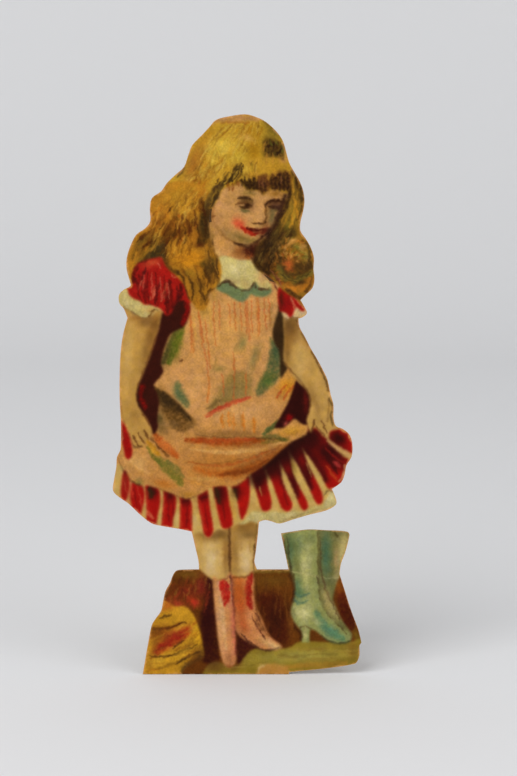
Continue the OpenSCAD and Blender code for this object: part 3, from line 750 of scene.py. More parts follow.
# striped flounce with the petticoat under it
flounceInk = {"cream": (213, 182, 112), "red": (176, 22, 18), "bright": (196, 26, 18),
              "dark": (62, 14, 14), "pale": (206, 195, 142)}


def printFlounce():
    at = "flounce"
    fill(at, flounceInk["cream"])
    for x in (161, 177, 195):
        wash(at, (216, 190, 130), (x, 520), (3, 9), 0, 0.7)
        wash(at, (180, 130, 74), (x, 500), (3, 5), 0, 0.6)
    washes(at, (
        ((204, 156, 58), (232, 508), (4, 12), -14, 0.7), ((150, 124, 54), (293, 467), (3, 7), -20, 0.85),
        ((96, 64, 34), (234, 492), (4, 5), 0, 0.8)))
    at = "flounce_stripes"
    fill(at, flounceInk["red"])
    for column, row, wide, deep in (
            (126, 472, 4, 5), (152, 491, 7, 9), (170, 495, 6, 8), (186, 501, 6, 5), (204, 497, 6, 5),
            (220, 492, 8, 13), (236, 491, 7, 10), (258, 480, 9, 16), (272, 466, 12, 16), (290, 452, 14, 16),
            (312, 445, 16, 14), (332, 452, 12, 10), (296, 476, 8, 14), (308, 470, 6, 14), (338, 440, 9, 6)):
        wash(at, flounceInk["dark"], (column, row), (wide, deep), -10, 0.85)
    washes(at, (
        (flounceInk["bright"], (244, 504), (5, 9), 0, 0.7), ((150, 48, 34), (125, 482), (4, 14), 0, 0.7)))
    stroke(at, (226, 116, 84), 3, [146, 512, 150, 515, 153, 518])
    ticks(at, (206, 70, 46), 1.6, (
        [164, 495, 164.4, 510, 164, 526], [180.6, 500, 181, 515, 182, 530], [215, 500, 218, 514, 222, 525],
        [200, 500, 203, 518, 206, 532], [147, 490, 148, 506, 149, 520]), 0.5, 0.8, 0.3)
    at = "petticoat_hem"
    fill(at, flounceInk["pale"])
    stroke(at, (150, 122, 76), 1.6, [322, 508, 300, 515, 281, 521], 0.4)


printBib()
printLap()
printDress()
printFlounce()


# legs and button shoes
shoeInk = {"left": (213, 150, 102), "right": (208, 140, 92), "orange": (194, 98, 34), "line": (92, 42, 36)}


def printLegs():
    at = "left_leg"
    fill(at, skin["leftLeg"])
    washes(at, (
        ((162, 116, 56), (210, 535), (16, 6), 0, 0.8), ((138, 98, 48), (222, 532), (7, 5)),
        ((160, 110, 52), (226, 553), (3.4, 18), 0, 0.8)))
    at = "right_leg"
    fill(at, skin["rightLeg"])
    washes(at, (
        ((140, 100, 46), (246, 527), (14, 7), 0, 0.85), ((166, 118, 56), (233, 550), (2.6, 20))))
    stroke(at, (104, 82, 40), 2.4, [257.6, 524, 256.4, 540, 254.6, 554], 0.75)
    stroke(("left_leg", "right_leg"), (92, 54, 26), 2.6, [229.4, 528, 229.6, 545, 229.8, 560, 230.2, 571],
        0.85, 0.6, 0.0, -0.0001)


def printShoes():
    at = "left_shoe"
    fill(at, shoeInk["left"])
    patch(at, (186, 24, 18), [219, 581, 225, 580, 229, 586, 229.6, 598, 225, 606, 221.6, 599, 219.6, 590],
        0.88, 1.6)
    washes(at, (
        ((168, 112, 84), (230, 657), (5, 7), 0, 0.75), ((122, 52, 28), (231, 667), (7, 2.4), 0, 0.8)))
    stroke((at, "right_shoe", "backdrop"), shoeInk["line"], 3, [231.4, 574, 232, 590, 233.6, 606, 235, 624,
        236.4, 642, 236, 654], 0.8, 0.6, 0.0, -0.00008)
    at = "right_shoe"
    fill(at, shoeInk["right"])
    washes(at, (
        (shoeInk["orange"], (239, 590), (6, 16), 0, 0.9), ((186, 76, 38), (241, 606), (6, 12), -12, 0.8),
        ((192, 90, 48), (243, 624), (6, 10), -25, 0.7)))
    stroke(at, (166, 24, 20), 6.4, [251, 574, 248.6, 586, 248.6, 597, 250.6, 607], 0.88, 0.6, 0.3)
    wash(at, (108, 40, 30), (233, 606), (3, 26), -2, 0.8)
    for x, y in ((256.6, 620), (259, 624.6), (261.4, 629)):
        wash(at, (96, 52, 28), (x, y), (1.7, 2.2), -25, 0.85, 0.00008)  # row of buttons
    stroke(at, (110, 66, 34), 1.6, [255.4, 606, 258.6, 616, 263, 627, 268, 636], 0.7)
    stroke((at, "ground"), (58, 42, 28), 2.2, [254, 647, 262, 649.8, 272, 650.4, 281, 648], 0.8, 0.6, 0.3)
    stroke(at, (120, 62, 18), 2, [232, 576.6, 241, 577.6, 249, 574.6, 252.4, 572], 0.7)


# pair of button boots at the right
bootInk = {"front": (150, 161, 106), "rear": (120, 122, 78), "teal": (98, 142, 110),
           "grey": (102, 116, 72), "line": (78, 62, 32), "cream": (180, 166, 110)}


def printBoots():
    at = "front_boot"
    fill(at, bootInk["front"])
    washes(at, (
        (bootInk["grey"], (290, 546), (9, 18), -10, 0.85), ((102, 120, 76), (310, 538), (6, 7), 0, 0.7),
        ((118, 124, 70), (297, 566), (4, 10), -10), ((94, 130, 98), (297, 586), (5, 9), 0, 0.75)))
    strokes(at, (
        (bootInk["teal"], 9, [316, 613, 323, 624, 331, 632, 342, 638], 0.85, 0.6, 0.3),
        ((92, 70, 36), 1.8, [301, 627, 306, 626, 311, 629], 0.6),
        (bootInk["line"], 3.2, [282.4, 538, 286, 552, 290, 567, 293.4, 580, 294.6, 592, 293, 602], 0.8,
         0.6, 0.3)))
    stroke((at, "rear_boot"), bootInk["line"], 2.4, [318.4, 532, 318.6, 556, 319.4, 580, 321, 599, 327,
        612, 335, 621, 343, 628], 0.8, 0.6, 0.2, -0.0001)
    stroke((at, "ground"), (58, 48, 22), 2.4, [322, 638, 330, 643, 338, 644.4, 346, 643.6, 351, 640], 0.8,
        0.6, 0.2)
    at = "rear_boot"
    fill(at, bootInk["rear"])
    wash(at, bootInk["cream"], (344, 546), (5, 18), 10, 0.9)
    stroke(at, (74, 66, 30), 2.4, [335, 533, 337.4, 536.4])
    stroke(("front_boot", "rear_boot"), (196, 192, 148), 1.7, [289, 571, 306, 574, 322, 577.4, 342, 577],
        0.55, 0.6, 0.3, -0.00006)


# picture behind the feet: a dark wall, a grassy floor and a yellow drape
sceneInk = {"wall": (104, 58, 18), "grass": (150, 131, 46), "drape": (206, 156, 44), "dark": (56, 26, 14),
            "maroon": (72, 22, 14), "ochre": (196, 144, 52), "red": (166, 38, 24)}


def printBackdrop():
    at = "backdrop"
    fill(at, sceneInk["wall"])
    patch(at, sceneInk["maroon"],
        [256, 596, 270, 592, 282, 600, 288, 620, 288, 640, 280, 646, 270, 636, 262, 618], 0.75, 6)
    stroke(at, sceneInk["dark"], 3, [290, 574, 294, 588, 292, 602, 289, 612, 294, 624, 301, 634, 301, 643],
        0.7, 0.7)
    wash(at, (170, 116, 32), (338, 586), (4, 7), -12, 0.9)
    patch(at, sceneInk["maroon"], [338, 594, 345, 592, 352, 608, 356, 624, 352, 632, 345, 626, 339, 612],
        0.85, 2.5)
    wash(at, (122, 104, 34), (357, 636), (3, 7), -18, 0.8)
    # left of the shoes
    patch(at, (58, 20, 16),
        [205, 577, 213, 578, 215, 600, 217, 630, 219, 650, 218, 662, 204, 662, 202, 640, 200, 618, 206,
         600],
        0.85, 2.5)
    patch(at, (64, 22, 20), [236, 626, 243, 636, 252, 643, 258, 648, 250, 652, 244, 660, 237, 664], 0.88, 2)
    strokes(at, (
        ((124, 100, 40), 3.2, [250, 572, 268, 571.6, 290, 571.6], 0.75),
        ((176, 144, 84), 1.8, [250, 570.4, 268, 570.2, 288, 570.4], 0.7)))


def printGround():
    at = "ground"
    fill(at, sceneInk["grass"])
    stroke(at, sceneInk["ochre"], 5, [286, 667, 306, 665, 326, 664.6, 346, 663], 0.75, 0.7, 0.4)
    washes(at, (
        ((122, 90, 38), (214, 668), (14, 6), 0, 0.75), ((100, 56, 24), (236, 666), (8, 4), -20, 0.75),
        ((128, 88, 34), (353, 650), (7, 9), -10, 0.7)))
    patch(at, (204, 148, 78), [258, 668, 263, 664.6, 272, 663.6, 281, 664.6, 287, 667, 288, 676, 258, 677],
        0.85, 1.6)
    stroke(at, (220, 190, 134), 2.6, [258, 672, 260, 667, 264, 664.6])


def printDrape():
    at = "drape"
    fill(at, sceneInk["drape"])
    wash(at, (186, 96, 36), (168, 605), (8, 6), -20, 0.85)
    stroke(at, (112, 72, 20), 3.2, [150, 628, 162, 628.6, 174, 625.6, 186, 622.6], 0.85, 0.6, 0.3, -0.00008)
    wash(at, (140, 64, 26), (168, 634), (14, 5), -10, 0.8)
    patch(at, sceneInk["red"],
        [160, 642, 172, 637, 182, 630, 189, 626, 190, 633, 182, 640, 170, 647, 158, 655, 154, 652], 0.85,
        2.6)
    wash(at, (136, 72, 28), (155, 648), (4, 8), 10, 0.7)
    stroke(at, (136, 84, 22), 2.6, [156, 661, 168, 656.6, 182, 653, 193, 650, 202, 645], 0.8, 0.6, 0.2,
        -0.00008)
    wash(at, (160, 106, 36), (150, 664), (5, 10), 12, 0.7)
    patch(at, (84, 58, 30),
        [181, 671, 184, 664, 191, 660, 199, 658.6, 203, 661, 196, 668, 188, 675, 180, 678], 0.85, 2.2)


printLegs()
printShoes()
printBoots()
printBackdrop()
printGround()
printDrape()


# the last stones: shades and dark lines over the flat tints
def keyHead():
    at = ("hair_crown", "fringe")
    washes(at, (
        ((190, 140, 100), (236, 119.6), (24, 3.6), -3), ((228, 200, 70), (212, 160), (6, 11), 18),
        ((232, 208, 84), (238, 158), (7, 7)), ((224, 190, 70), (246, 170), (6, 6)),
        ((222, 170, 50), (272, 166), (9, 4), 8), ((164, 108, 36), (198, 158), (5, 16), 24),
        ((206, 150, 96), (284, 160), (5, 4), 30)))
    strands("hair_crown", [(118, 76, 20), (236, 212, 112), (150, 98, 24)],
        [226, 124, 205, 146, 194, 170, 184, 186], [262, 122, 258, 140, 250, 156, 244, 168], 150, 1.3, 0.5,
        1.2, 0, 51, 3)
    washes(at, (
        ((226, 188, 64), (228, 148), (24, 20), 0, 0.35), ((206, 160, 52), (212, 174), (14, 16), 20, 0.3),
        ((242, 218, 94), (222, 146), (16, 9), -15, 0.55), ((246, 200, 124), (248, 138), (8, 4), 20, 0.55),
        ((60, 40, 28), (273, 149), (8, 7), 10, 0.55)))
    strands("hair_crown", [(46, 30, 16), (66, 38, 20), (100, 104, 40), (40, 26, 18)],
        [266, 141, 264, 149, 268, 160], [279, 138, 286, 149, 281, 162], 46, 2.0, 0.75, 1.0, 0, 52, 4)
    ticks(at, (204, 152, 60), 2.4, (
        [266, 165, 267, 153], [273, 164, 273, 154], [280, 164, 279, 155], [263, 150, 266, 142]), 0.7)
    # flames of shadow where the hair parts from the temple
    ticks(("fringe", "hair_crown", "left_hair"), (54, 38, 18), 3.4, (
        [242, 162, 239, 167, 235, 174], [240, 167, 235, 175, 229, 182], [236, 173, 230, 180, 223, 185],
        [229, 172, 223, 181, 215, 188]), 0.7, 0.8, 0.9)
    ticks("fringe", (60, 42, 20), 1.5, (
        [243, 164, 241, 172], [238, 163, 235, 170], [233, 166, 230, 173], [226, 171, 222, 178],
        [219, 178, 215, 185]), 0.8)
    ticks("fringe", (210, 172, 64), 1.7, (
        [238, 170, 233, 179], [231, 175, 224, 184], [222, 182, 216, 192], [216, 190, 211, 202],
        [234, 164, 230, 174], [226, 170, 220, 181], [217, 178, 211, 190], [212, 188, 207, 200]))
    ticks(("fringe", "face"), (48, 30, 18), 3, (
        [241, 179, 242.4, 187], [245, 178, 246.6, 190], [249, 179, 250.4, 192], [253, 178, 254, 190],
        [257, 181, 258, 190], [261, 184, 261.6, 194], [265, 182, 265, 193], [271, 177, 272, 190],
        [275, 174, 276, 191], [279, 173, 280, 191], [283, 173, 284, 191], [287, 173, 288, 192]), 0.85)
    ticks("fringe", (176, 118, 84), 1.5, (
        [259, 178, 259.6, 187], [263, 177, 263.4, 188], [281, 176, 281.6, 184]), 0.5)
    wash("fringe", (70, 40, 30), (264, 184), (8, 7), 0, 0.5)
    ticks("fringe", (210, 158, 56), 2, (
        [251, 172, 252, 182], [256, 171, 257, 181], [268, 170, 268.6, 180], [274, 169, 275, 177]), 0.7)
    ticks(("fringe", "face"), (132, 70, 22), 2.6, (
        [228, 182, 229, 190], [232, 183, 232.6, 191], [237, 181, 238, 186]), 0.8)
    strands("right_hair", [(52, 32, 18), (60, 42, 20), (190, 140, 44), (120, 100, 40)],
        [287, 172, 284, 200, 272, 228, 262, 248], [299, 176, 302, 200, 296, 226, 284, 246], 70, 1.7, 0.6,
        0.8, 0, 53, 4)
    washes("right_hair", (
        ((212, 182, 62), (293, 213), (4, 13)), ((166, 156, 52), (288, 226), (4, 8), 10, 0.5)))
    ticks("right_hair", (222, 158, 46), 2.6, (
        [294, 196, 295, 206, 293, 214], [291, 214, 292, 221, 290, 228], [297, 208, 298, 218]), 0.7)


def keyFace():
    at = "face"
    washes(at, (
        ((198, 152, 92), (232, 196), (10, 8)), ((222, 166, 130), (217.5, 205), (4, 4.4)),
        ((146, 124, 74), (250, 193), (9, 3)), ((150, 108, 56), (246, 201.4), (8, 2.4), 6, 0.5),
        ((112, 112, 74), (245, 211.4), (5, 1.8), 8, 0.7), ((110, 104, 70), (272, 216), (3.4, 10), 6, 0.75),
        ((130, 108, 58), (240, 238), (10, 4), 30, 0.8), ((136, 116, 62), (251, 241), (8, 3), -8, 0.75),
        ((176, 140, 88), (227, 231), (5, 3), 30), ((186, 150, 100), (244, 235), (6, 2), 24, 0.5),
        ((150, 98, 56), (265, 225), (3, 5), 10, 0.7), ((66, 34, 22), (268, 236), (5, 5), -40, 0.85),
        ((150, 124, 72), (230, 236), (11, 4), 38, 0.5)))
    # eyes
    washes(at, (
        ((118, 84, 46), (245.6, 201.6), (6.4, 2.2), 6, 0.7),
        ((50, 28, 14), (247.8, 205.4), (4.6, 3), 14, 0.92),
        ((66, 42, 20), (242.6, 207.4), (3.4, 1.5), 14, 0.85),
        ((206, 160, 110), (241.8, 204.6), (2, 1.2), 0, 0.9), ((196, 152, 104), (247.6, 209.6), (2, 0.9)),
        ((96, 68, 38), (246, 200.6), (6.4, 2.4), 4, 0.75), ((92, 66, 40), (252.4, 203), (2.4, 3))))
    strokes(at, (
        ((54, 34, 18), 3, [237.6, 198.4, 244, 198, 251, 199.2], 0.85, 0.8, 0.5),
        ((120, 76, 40), 1.8, [235.6, 204.6, 241, 202.6, 247, 202.4], 0.7, 0.8, 0.4)))
    wash(at, (88, 54, 34), (276, 204.4), (8, 4), 0, 0.7)
    ticks(at, (50, 26, 14), 3, (
        [265.6, 207, 267.4, 203.4, 273, 201, 284, 202.6],
        [270, 206.6, 276, 207.6, 285, 206]), 0.7, 0.8, 0.5)
    stroke(at, (124, 80, 60), 1.8, [273, 205, 279, 205], 0.55, 0.7, 0.6)
    wash(at, (92, 66, 58), (279, 207), (6, 3.4), 0, 0.5)
    # nose and mouth
    strokes(at, (
        ((104, 72, 38), 2.2, [266, 206, 266.4, 214, 265.6, 222], 0.7, 0.8, 0.3),
        ((80, 50, 26), 2.2, [253, 223, 258, 223, 262, 224, 265.6, 222.4], 0.75, 0.8, 0.5)))
    washes(at, (
        ((214, 166, 116), (260, 217), (3, 4)), ((190, 152, 100), (258, 226.6), (4, 1.6), 0, 0.7),
        ((214, 92, 64), (239, 224.4), (5.4, 4), 24, 0.7)))
    strokes(at, (
        ((186, 44, 26), 4, [243, 228.6, 248, 231.8, 254.6, 234.6], 0.85, 0.8, 0.4),
        ((112, 36, 24), 3.4, [256, 233, 262, 232.4, 267, 231], 0.8, 0.9, 0.3),
        ((78, 18, 12), 2.2, [246, 228.6, 252, 230.2, 258, 230.4, 263, 229.8], 0.88, 0.8, 0.4)))
    washes(at, (
        ((128, 78, 50), (269.4, 228.4), (3, 3.4), 0, 0.85), ((92, 40, 28), (264, 231), (3.4, 1.8), 0, 0.7)))
    # jaw and the lock along the cheek
    both = ("face", "neck", "left_hair")
    strokes(both, (
        ((138, 98, 52), 3.6, [214, 224, 220, 231.6, 228, 238.6, 236, 243], 0.4, 0.9, 0.4),
        ((56, 30, 16), 3, [234, 243, 242, 246, 250, 246, 257, 242, 263, 237], 0.85, 0.8, 0.4)))
    stroke(("face", "right_hair"), (56, 32, 24), 5, [285, 196, 282, 207, 278, 217, 272.6, 227, 266, 237],
        0.85, 0.8, 0.2)
    stroke(("face", "left_hair", "fringe"), (72, 50, 26), 5.4, [221, 185, 213, 192, 208.6, 202, 207.4, 214,
        208.6, 226, 208, 236], 0.85, 0.8, 0.3)
    ticks(("face", "left_hair", "fringe"), (128, 104, 52), 1.6, (
        [213, 191, 206, 200, 205, 212], [218, 184, 211, 190]), 0.7)
    stroke(at, (128, 80, 40), 2.2, [211, 217.4, 215.6, 216.6], 0.7, 0.7, 0.6)
    washes("neck", (
        ((214, 160, 92), (221, 243), (5, 9), -24), ((156, 120, 60), (212, 236), (2.6, 14), 0, 0.75),
        ((220, 184, 124), (218, 254), (5, 4), 20), ((164, 106, 56), (237, 252), (5, 6), 20, 0.7),
        ((60, 24, 14), (253, 251), (8, 6), -24, 0.85), ((150, 76, 26), (247, 257.4), (5, 2.4), 10, 0.8)))
    strands("neck", [(110, 50, 24), (50, 24, 16), (160, 86, 40)], [243, 248, 246, 258],
        [258, 244, 260, 256], 14, 1.6, 0.6, 0.4, 0, 54, 6)
    wash("collar", (186, 166, 108), (232, 268), (20, 12), 0, 0.35)
    # wisps over the neck and the collar's left end
    strands(("left_hair", "neck", "collar"), [(150, 104, 40), (84, 54, 22), (190, 140, 56), (70, 46, 22)],
        [203, 240, 206, 262, 212, 290], [213, 238, 217, 260, 222, 284], 40, 1.8, 0.6, 0.8, 0, 58, 5)


def keyLocks():
    at = "left_hair"
    washes(at, (
        ((226, 156, 30), (190, 259), (14, 9), 0, 0.75), ((110, 66, 18), (176, 231), (16, 7), -10),
        ((58, 46, 24), (202, 230), (7, 15), 4, 0.75), ((60, 50, 28), (155, 252), (12, 4), -28, 0.8),
        ((96, 78, 32), (143, 240), (9, 5), -36), ((90, 56, 22), (168, 262), (3, 9), -20),
        ((78, 56, 24), (209, 268), (6, 9)), ((130, 96, 34), (196, 286), (9, 10), 0, 0.5)))
    ticks(at, (70, 30, 12), 2.6, (
        [172, 219, 168, 227, 164, 237], [178, 222, 179, 231, 181, 240], [187, 220, 190, 228, 189, 237],
        [166, 214, 163, 220], [156, 218, 158, 225], [194, 210, 196, 218, 194, 226], [183, 214, 181, 222],
        [170, 236, 166, 246, 166, 256], [187, 195, 185, 205], [201, 198, 203, 208, 206, 216],
        [146, 232, 139, 240], [152, 240, 142, 248]), 0.8)
    ticks(at, (104, 56, 14), 1.7, (
        [168, 250, 174, 256, 182, 258], [170, 264, 178, 263, 186, 260], [198, 258, 206, 256],
        [194, 266, 202, 268], [186, 240, 190, 248]), 0.4)
    ticks(("left_hair", "pinafore_bib"), (70, 44, 18), 2.4, (
        [188, 276, 193, 286, 192, 298], [196, 274, 201, 284, 200, 294], [204, 270, 209, 278, 207, 288],
        [212, 264, 216, 274, 213, 284], [184, 284, 187, 296, 189, 306], [202, 292, 205, 302],
        [210, 288, 206, 298]), 0.7)
    washes(at, (
        ((150, 92, 26), (160, 226), (16, 10), -30, 0.5), ((176, 108, 30), (196, 236), (8, 8), 0, 0.5)))
    strands(at, [(240, 196, 84), (120, 72, 18), (76, 44, 16), (96, 54, 16)],
        [180, 186, 162, 204, 154, 222, 140, 250], [208, 196, 200, 214, 194, 240, 190, 262], 130, 1.4, 0.5,
        1.2, 0, 55, 3)
    washes(at, (
        ((232, 180, 60), (180, 198), (20, 18), -20, 0.5), ((206, 142, 52), (160, 214), (12, 12), -30, 0.4),
        ((216, 144, 38), (190, 258), (15, 7), 0, 0.5)))
    ticks(at, (60, 34, 14), 1.8, (
        [176, 224, 174, 234, 168, 242], [184, 226, 186, 236], [196, 222, 199, 232, 198, 244],
        [164, 222, 160, 230], [204, 214, 206, 226, 205, 238], [172, 206, 168, 213],
        [158, 238, 150, 247]), 0.7)
    washes("pinafore_bib", (
        ((186, 146, 62), (204, 312), (10, 9), 0, 0.75), ((176, 136, 60), (214, 296), (6, 8))))


def keyCurl():
    at = "right_hair"
    wash(at, (118, 76, 28), (293, 262), (20, 20), 0, 0.75)
    pick = np.random.default_rng(57)
    upper = [(216, 150, 66), (206, 128, 48), (124, 124, 44), (86, 50, 20), (232, 178, 104)]
    lower = [(52, 34, 18), (96, 88, 36), (150, 96, 30), (44, 28, 16), (178, 84, 34)]
    for i in range(260):
        turn, reach = pick.uniform(-3.14, 3.14), pick.uniform(4, 21)
        inks = upper if -2.9 < turn < 0.1 else lower
        bend = pick.uniform(-0.5, 0.5)
        swirl = pick.uniform(0.0, 0.16) * (i % 3)
        line = [(291 + r * math.cos(turn + bend + swirl * s),
                 262 + r * 1.05 * math.sin(turn + bend + swirl * s))
                for s, r in enumerate((reach, reach + 1.6, reach + 3.2))]
        stroke(at, inks[int(pick.integers(5))], 1.6, line, 0.6, 0.7, 0.6)
    washes(at, (
        ((72, 52, 26), (299, 267), (9, 6), -15, 0.85), ((60, 42, 24), (309, 266), (4, 5), 0, 0.8),
        ((214, 104, 54), (288.5, 265), (5, 6.5), 0, 0.85)))
    strokes(at, (
        ((72, 52, 26), 4, [280, 258, 282, 269, 290, 275, 301, 273.5, 310, 268]),
        ((112, 106, 48), 6, [279, 268, 285, 278, 294, 281, 303, 278, 311, 273], 0.75)))
    ticks(at, (66, 50, 24), 1.6, (
        [281, 274, 287, 279.5, 295, 281.5], [297, 278, 305, 276, 311, 271],
        [284, 274, 290, 278, 298, 279]), 0.7)
    strokes(at, (
        ((82, 58, 26), 2.4, [283, 281, 292, 286, 301, 283.5, 310, 277], 0.75),
        ((210, 134, 46), 8, [288, 287, 297, 289.5, 304, 287, 310, 281], 0.85),
        ((70, 44, 22), 4, [287, 290, 294, 295, 301, 299]),
        ((84, 54, 26), 3, [312, 277, 310.5, 285, 306, 292], 0.7)))
    washes(at, (
        ((134, 140, 62), (297, 247), (6, 3.4), 20, 0.75), ((128, 130, 58), (306, 257), (3, 6), 0, 0.7)))
    stroke(at, (66, 52, 26), 3, [306, 243, 309, 251, 309.5, 259], 0.75)
    washes(at, (
        ((240, 178, 110), (293, 241), (6, 2.6), -20, 0.75),
        ((238, 176, 116), (303, 246), (3.6, 3.2), 30, 0.7)))
    ticks(("right_hair", "collar", "neck"), (52, 34, 18), 3, (
        [256, 246, 255, 256, 260, 266], [268, 240, 271, 252, 274, 262], [258, 262, 264, 270, 270, 274],
        [252, 258, 256, 266, 262, 272]), 0.75)
    ticks(("right_hair", "collar", "pinafore_bib"), (176, 110, 84), 2.2, (
        [264, 272, 270, 279, 276, 288], [270, 270, 277, 278, 283, 288]), 0.7)
    ticks(("right_hair", "collar", "pinafore_bib"), (96, 44, 28), 1.8, (
        [267, 274, 273, 282, 279, 292], [274, 274, 280, 284]), 0.7)
    washes("collar", (
        ((230, 224, 182), (236, 270), (13, 10), 0, 0.8), ((206, 158, 110), (262, 278), (6, 9), -20, 0.75),
        ((190, 160, 110), (246, 284), (4, 6), 0, 0.5)))
    ticks(("collar", "collar_trim"), (72, 50, 34), 2.4, (
        [220, 284, 226, 281, 233, 284, 240, 290], [251, 288, 254, 282, 256, 288],
        [258, 288, 266, 290]), 0.75)
    wash("collar_trim", (122, 138, 98), (238, 293), (14, 6), 10, 0.7)


keyHead()
keyFace()
keyLocks()
keyCurl()


def keyPinafore():
    at = "pinafore_bib"
    washes(at, (
        ((226, 178, 116), (226, 330), (30, 26), 0, 0.35), ((92, 104, 36), (173, 345), (6, 18), 20, 0.7),
        ((60, 56, 26), (165, 358), (4, 14), 22, 0.7), ((130, 132, 84), (242, 344), (3.4, 9), 38, 0.75),
        ((140, 130, 86), (254, 357), (4, 15), 24, 0.75), ((142, 128, 80), (236, 390), (14, 12), -25),
        ((34, 40, 28), (278, 328), (4, 13), 0, 0.85), ((58, 84, 62), (276, 352), (5, 14), 6, 0.8),
        ((78, 110, 48), (268, 380), (8, 7), -50, 0.75), ((86, 112, 84), (178, 394), (4.4, 11), -24, 0.8),
        ((232, 184, 126), (196, 384), (7, 18), 6, 0.45)))
    ticks(at, (200, 98, 50), 1.6, (
        [190, 312, 191, 332, 191, 352], [198, 306, 201, 326, 204, 342], [205, 320, 208, 344, 210, 368],
        [214, 302, 214, 324, 216, 346], [219, 300, 220, 330], [229, 304, 231, 326], [234, 302, 236, 330],
        [240, 302, 242, 330], [245, 300, 247, 334], [251, 300, 252, 332], [258, 298, 260, 334],
        [264, 298, 266, 330], [269, 298, 270, 326], [233, 352, 235, 374], [222, 374, 224, 396],
        [246, 372, 246, 398], [234, 374, 234, 400]), 0.68, 0.8, 0.4)
    ticks(at, (232, 184, 84), 2.6, ([210, 304, 211, 330], [194, 318, 196, 340]), 0.5, 0.9, 0.4)
    wash(at, (224, 172, 88), (226, 340), (36, 40), 0, 0.3)
    ticks(at, (150, 122, 70), 3, (
        [240, 338, 234, 352], [262, 346, 256, 362, 250, 376], [216, 356, 214, 374],
        [272, 300, 270, 330]), 0.5, 0.9, 0.8)
    both = ("pinafore_bib", "pinafore_lap")
    strokes(both, (
        ((204, 62, 42), 4.4, [207, 416.6, 218, 410, 232, 403, 250, 397.6], 0.8, 0.7, 0.6),
        ((120, 92, 52), 2.6, [206, 409, 216, 403, 224, 398], 0.6, 0.9, 0.5)))
    at = "pinafore_lap"
    washes(at, (
        ((96, 84, 46), (158, 420), (5, 10), -20, 0.7), ((232, 180, 122), (238, 412), (26, 7), -8),
        ((230, 176, 70), (288, 384), (9, 9), 40, 0.7), ((224, 132, 66), (166, 446), (11, 4.6), 38, 0.75),
        ((232, 178, 66), (153, 450), (7, 3), 42, 0.75), ((230, 190, 128), (138, 462), (11, 8), 10),
        ((140, 104, 58), (230, 434), (30, 3)), ((226, 176, 80), (290, 430), (12, 4), -12)))
    ticks(at, (222, 128, 42), 2.2, (
        [222, 414, 222, 427], [228, 412, 229, 426], [234, 414, 234, 430], [243, 412, 244, 430],
        [254, 418, 255, 432]), 0.65, 0.8, 0.4)
    stroke(at, (184, 72, 34), 4.6, [190, 439, 214, 441, 240, 440, 262, 438], 0.7, 0.8, 0.8)
    ticks(at, (92, 62, 34), 1.8, (
        [196, 435, 222, 437, 250, 437, 282, 440], [186, 462, 214, 464, 244, 458, 276, 448],
        [148, 436, 158, 446, 168, 455]), 0.55, 0.8, 0.5)
    washes(at, (
        ((214, 142, 54), (222, 466), (50, 20), -6, 0.5), ((62, 46, 26), (165, 402), (14, 7), 42, 0.8),
        ((92, 78, 46), (160, 417), (5, 10), -10, 0.7), ((112, 86, 54), (174, 424), (10, 6), 20, 0.65),
        ((116, 90, 54), (163, 430), (7, 7), 0, 0.7), ((150, 112, 66), (191, 424), (8, 7), 40, 0.55)))
    stroke(at, (56, 40, 22), 7, [153, 389, 166, 398, 178, 408, 190, 419], 0.75, 0.9, 0.4)
    stroke((at, "flounce"), (88, 62, 36), 1.6, [118, 458, 122, 468, 128, 478, 137, 485, 150, 489], 0.6,
        0.7, 0.6)
    wash("flounce", (186, 58, 48), (134, 494), (8, 14), -20, 0.8)
    wash(at, (156, 90, 36), (226, 462), (56, 26), 0, 0.28)
    ticks(at, (238, 190, 110), 4, (
        [196, 449, 224, 452, 252, 450, 280, 443], [188, 478, 212, 479, 236, 476]), 0.5, 0.9, 0.6)
    strokes(at, (
        ((116, 58, 26), 9, [216, 476, 246, 468, 262, 459, 282, 445], 0.6, 0.9, 0.95),
        ((84, 54, 26), 5, [248, 478, 262, 467, 278, 453, 292, 443], 0.6, 0.9, 0.3)))
    ticks(at, (84, 92, 46), 4, (
        [262, 437, 274, 436, 286, 440], [278, 420, 272, 428, 264, 434]), 0.65, 0.8, 0.5)
    # crests and hollows of the drawn-up lap
    ticks(at, (236, 188, 126), 4, (
        [190, 449, 222, 452.6, 254, 449.6, 282, 442], [128, 458, 138, 466, 150, 474]), 0.6, 0.8, 0.6)
    strokes(at, (
        ((230, 166, 84), 3.6, [190, 481, 214, 487, 236, 482], 0.55, 0.8, 0.6),
        ((176, 84, 34), 3, [188, 462, 214, 466, 244, 461, 270, 450], 0.65, 0.8, 0.7)))
    wash(at, (206, 136, 28), (287, 387), (10, 11), 40, 0.75)
    strokes(at, (
        ((186, 96, 30), 10, [196, 469, 222, 474, 248, 470, 272, 458, 290, 446], 0.7, 0.9, 0.5),
        ((126, 58, 20), 5, [220, 474.5, 248, 471, 268, 460], 0.75, 0.9, 0.6)))
    ticks(at, (186, 74, 36), 2.4, ([277, 399, 281, 391, 286, 385], [283, 400, 288, 392, 293, 386]), 0.75)


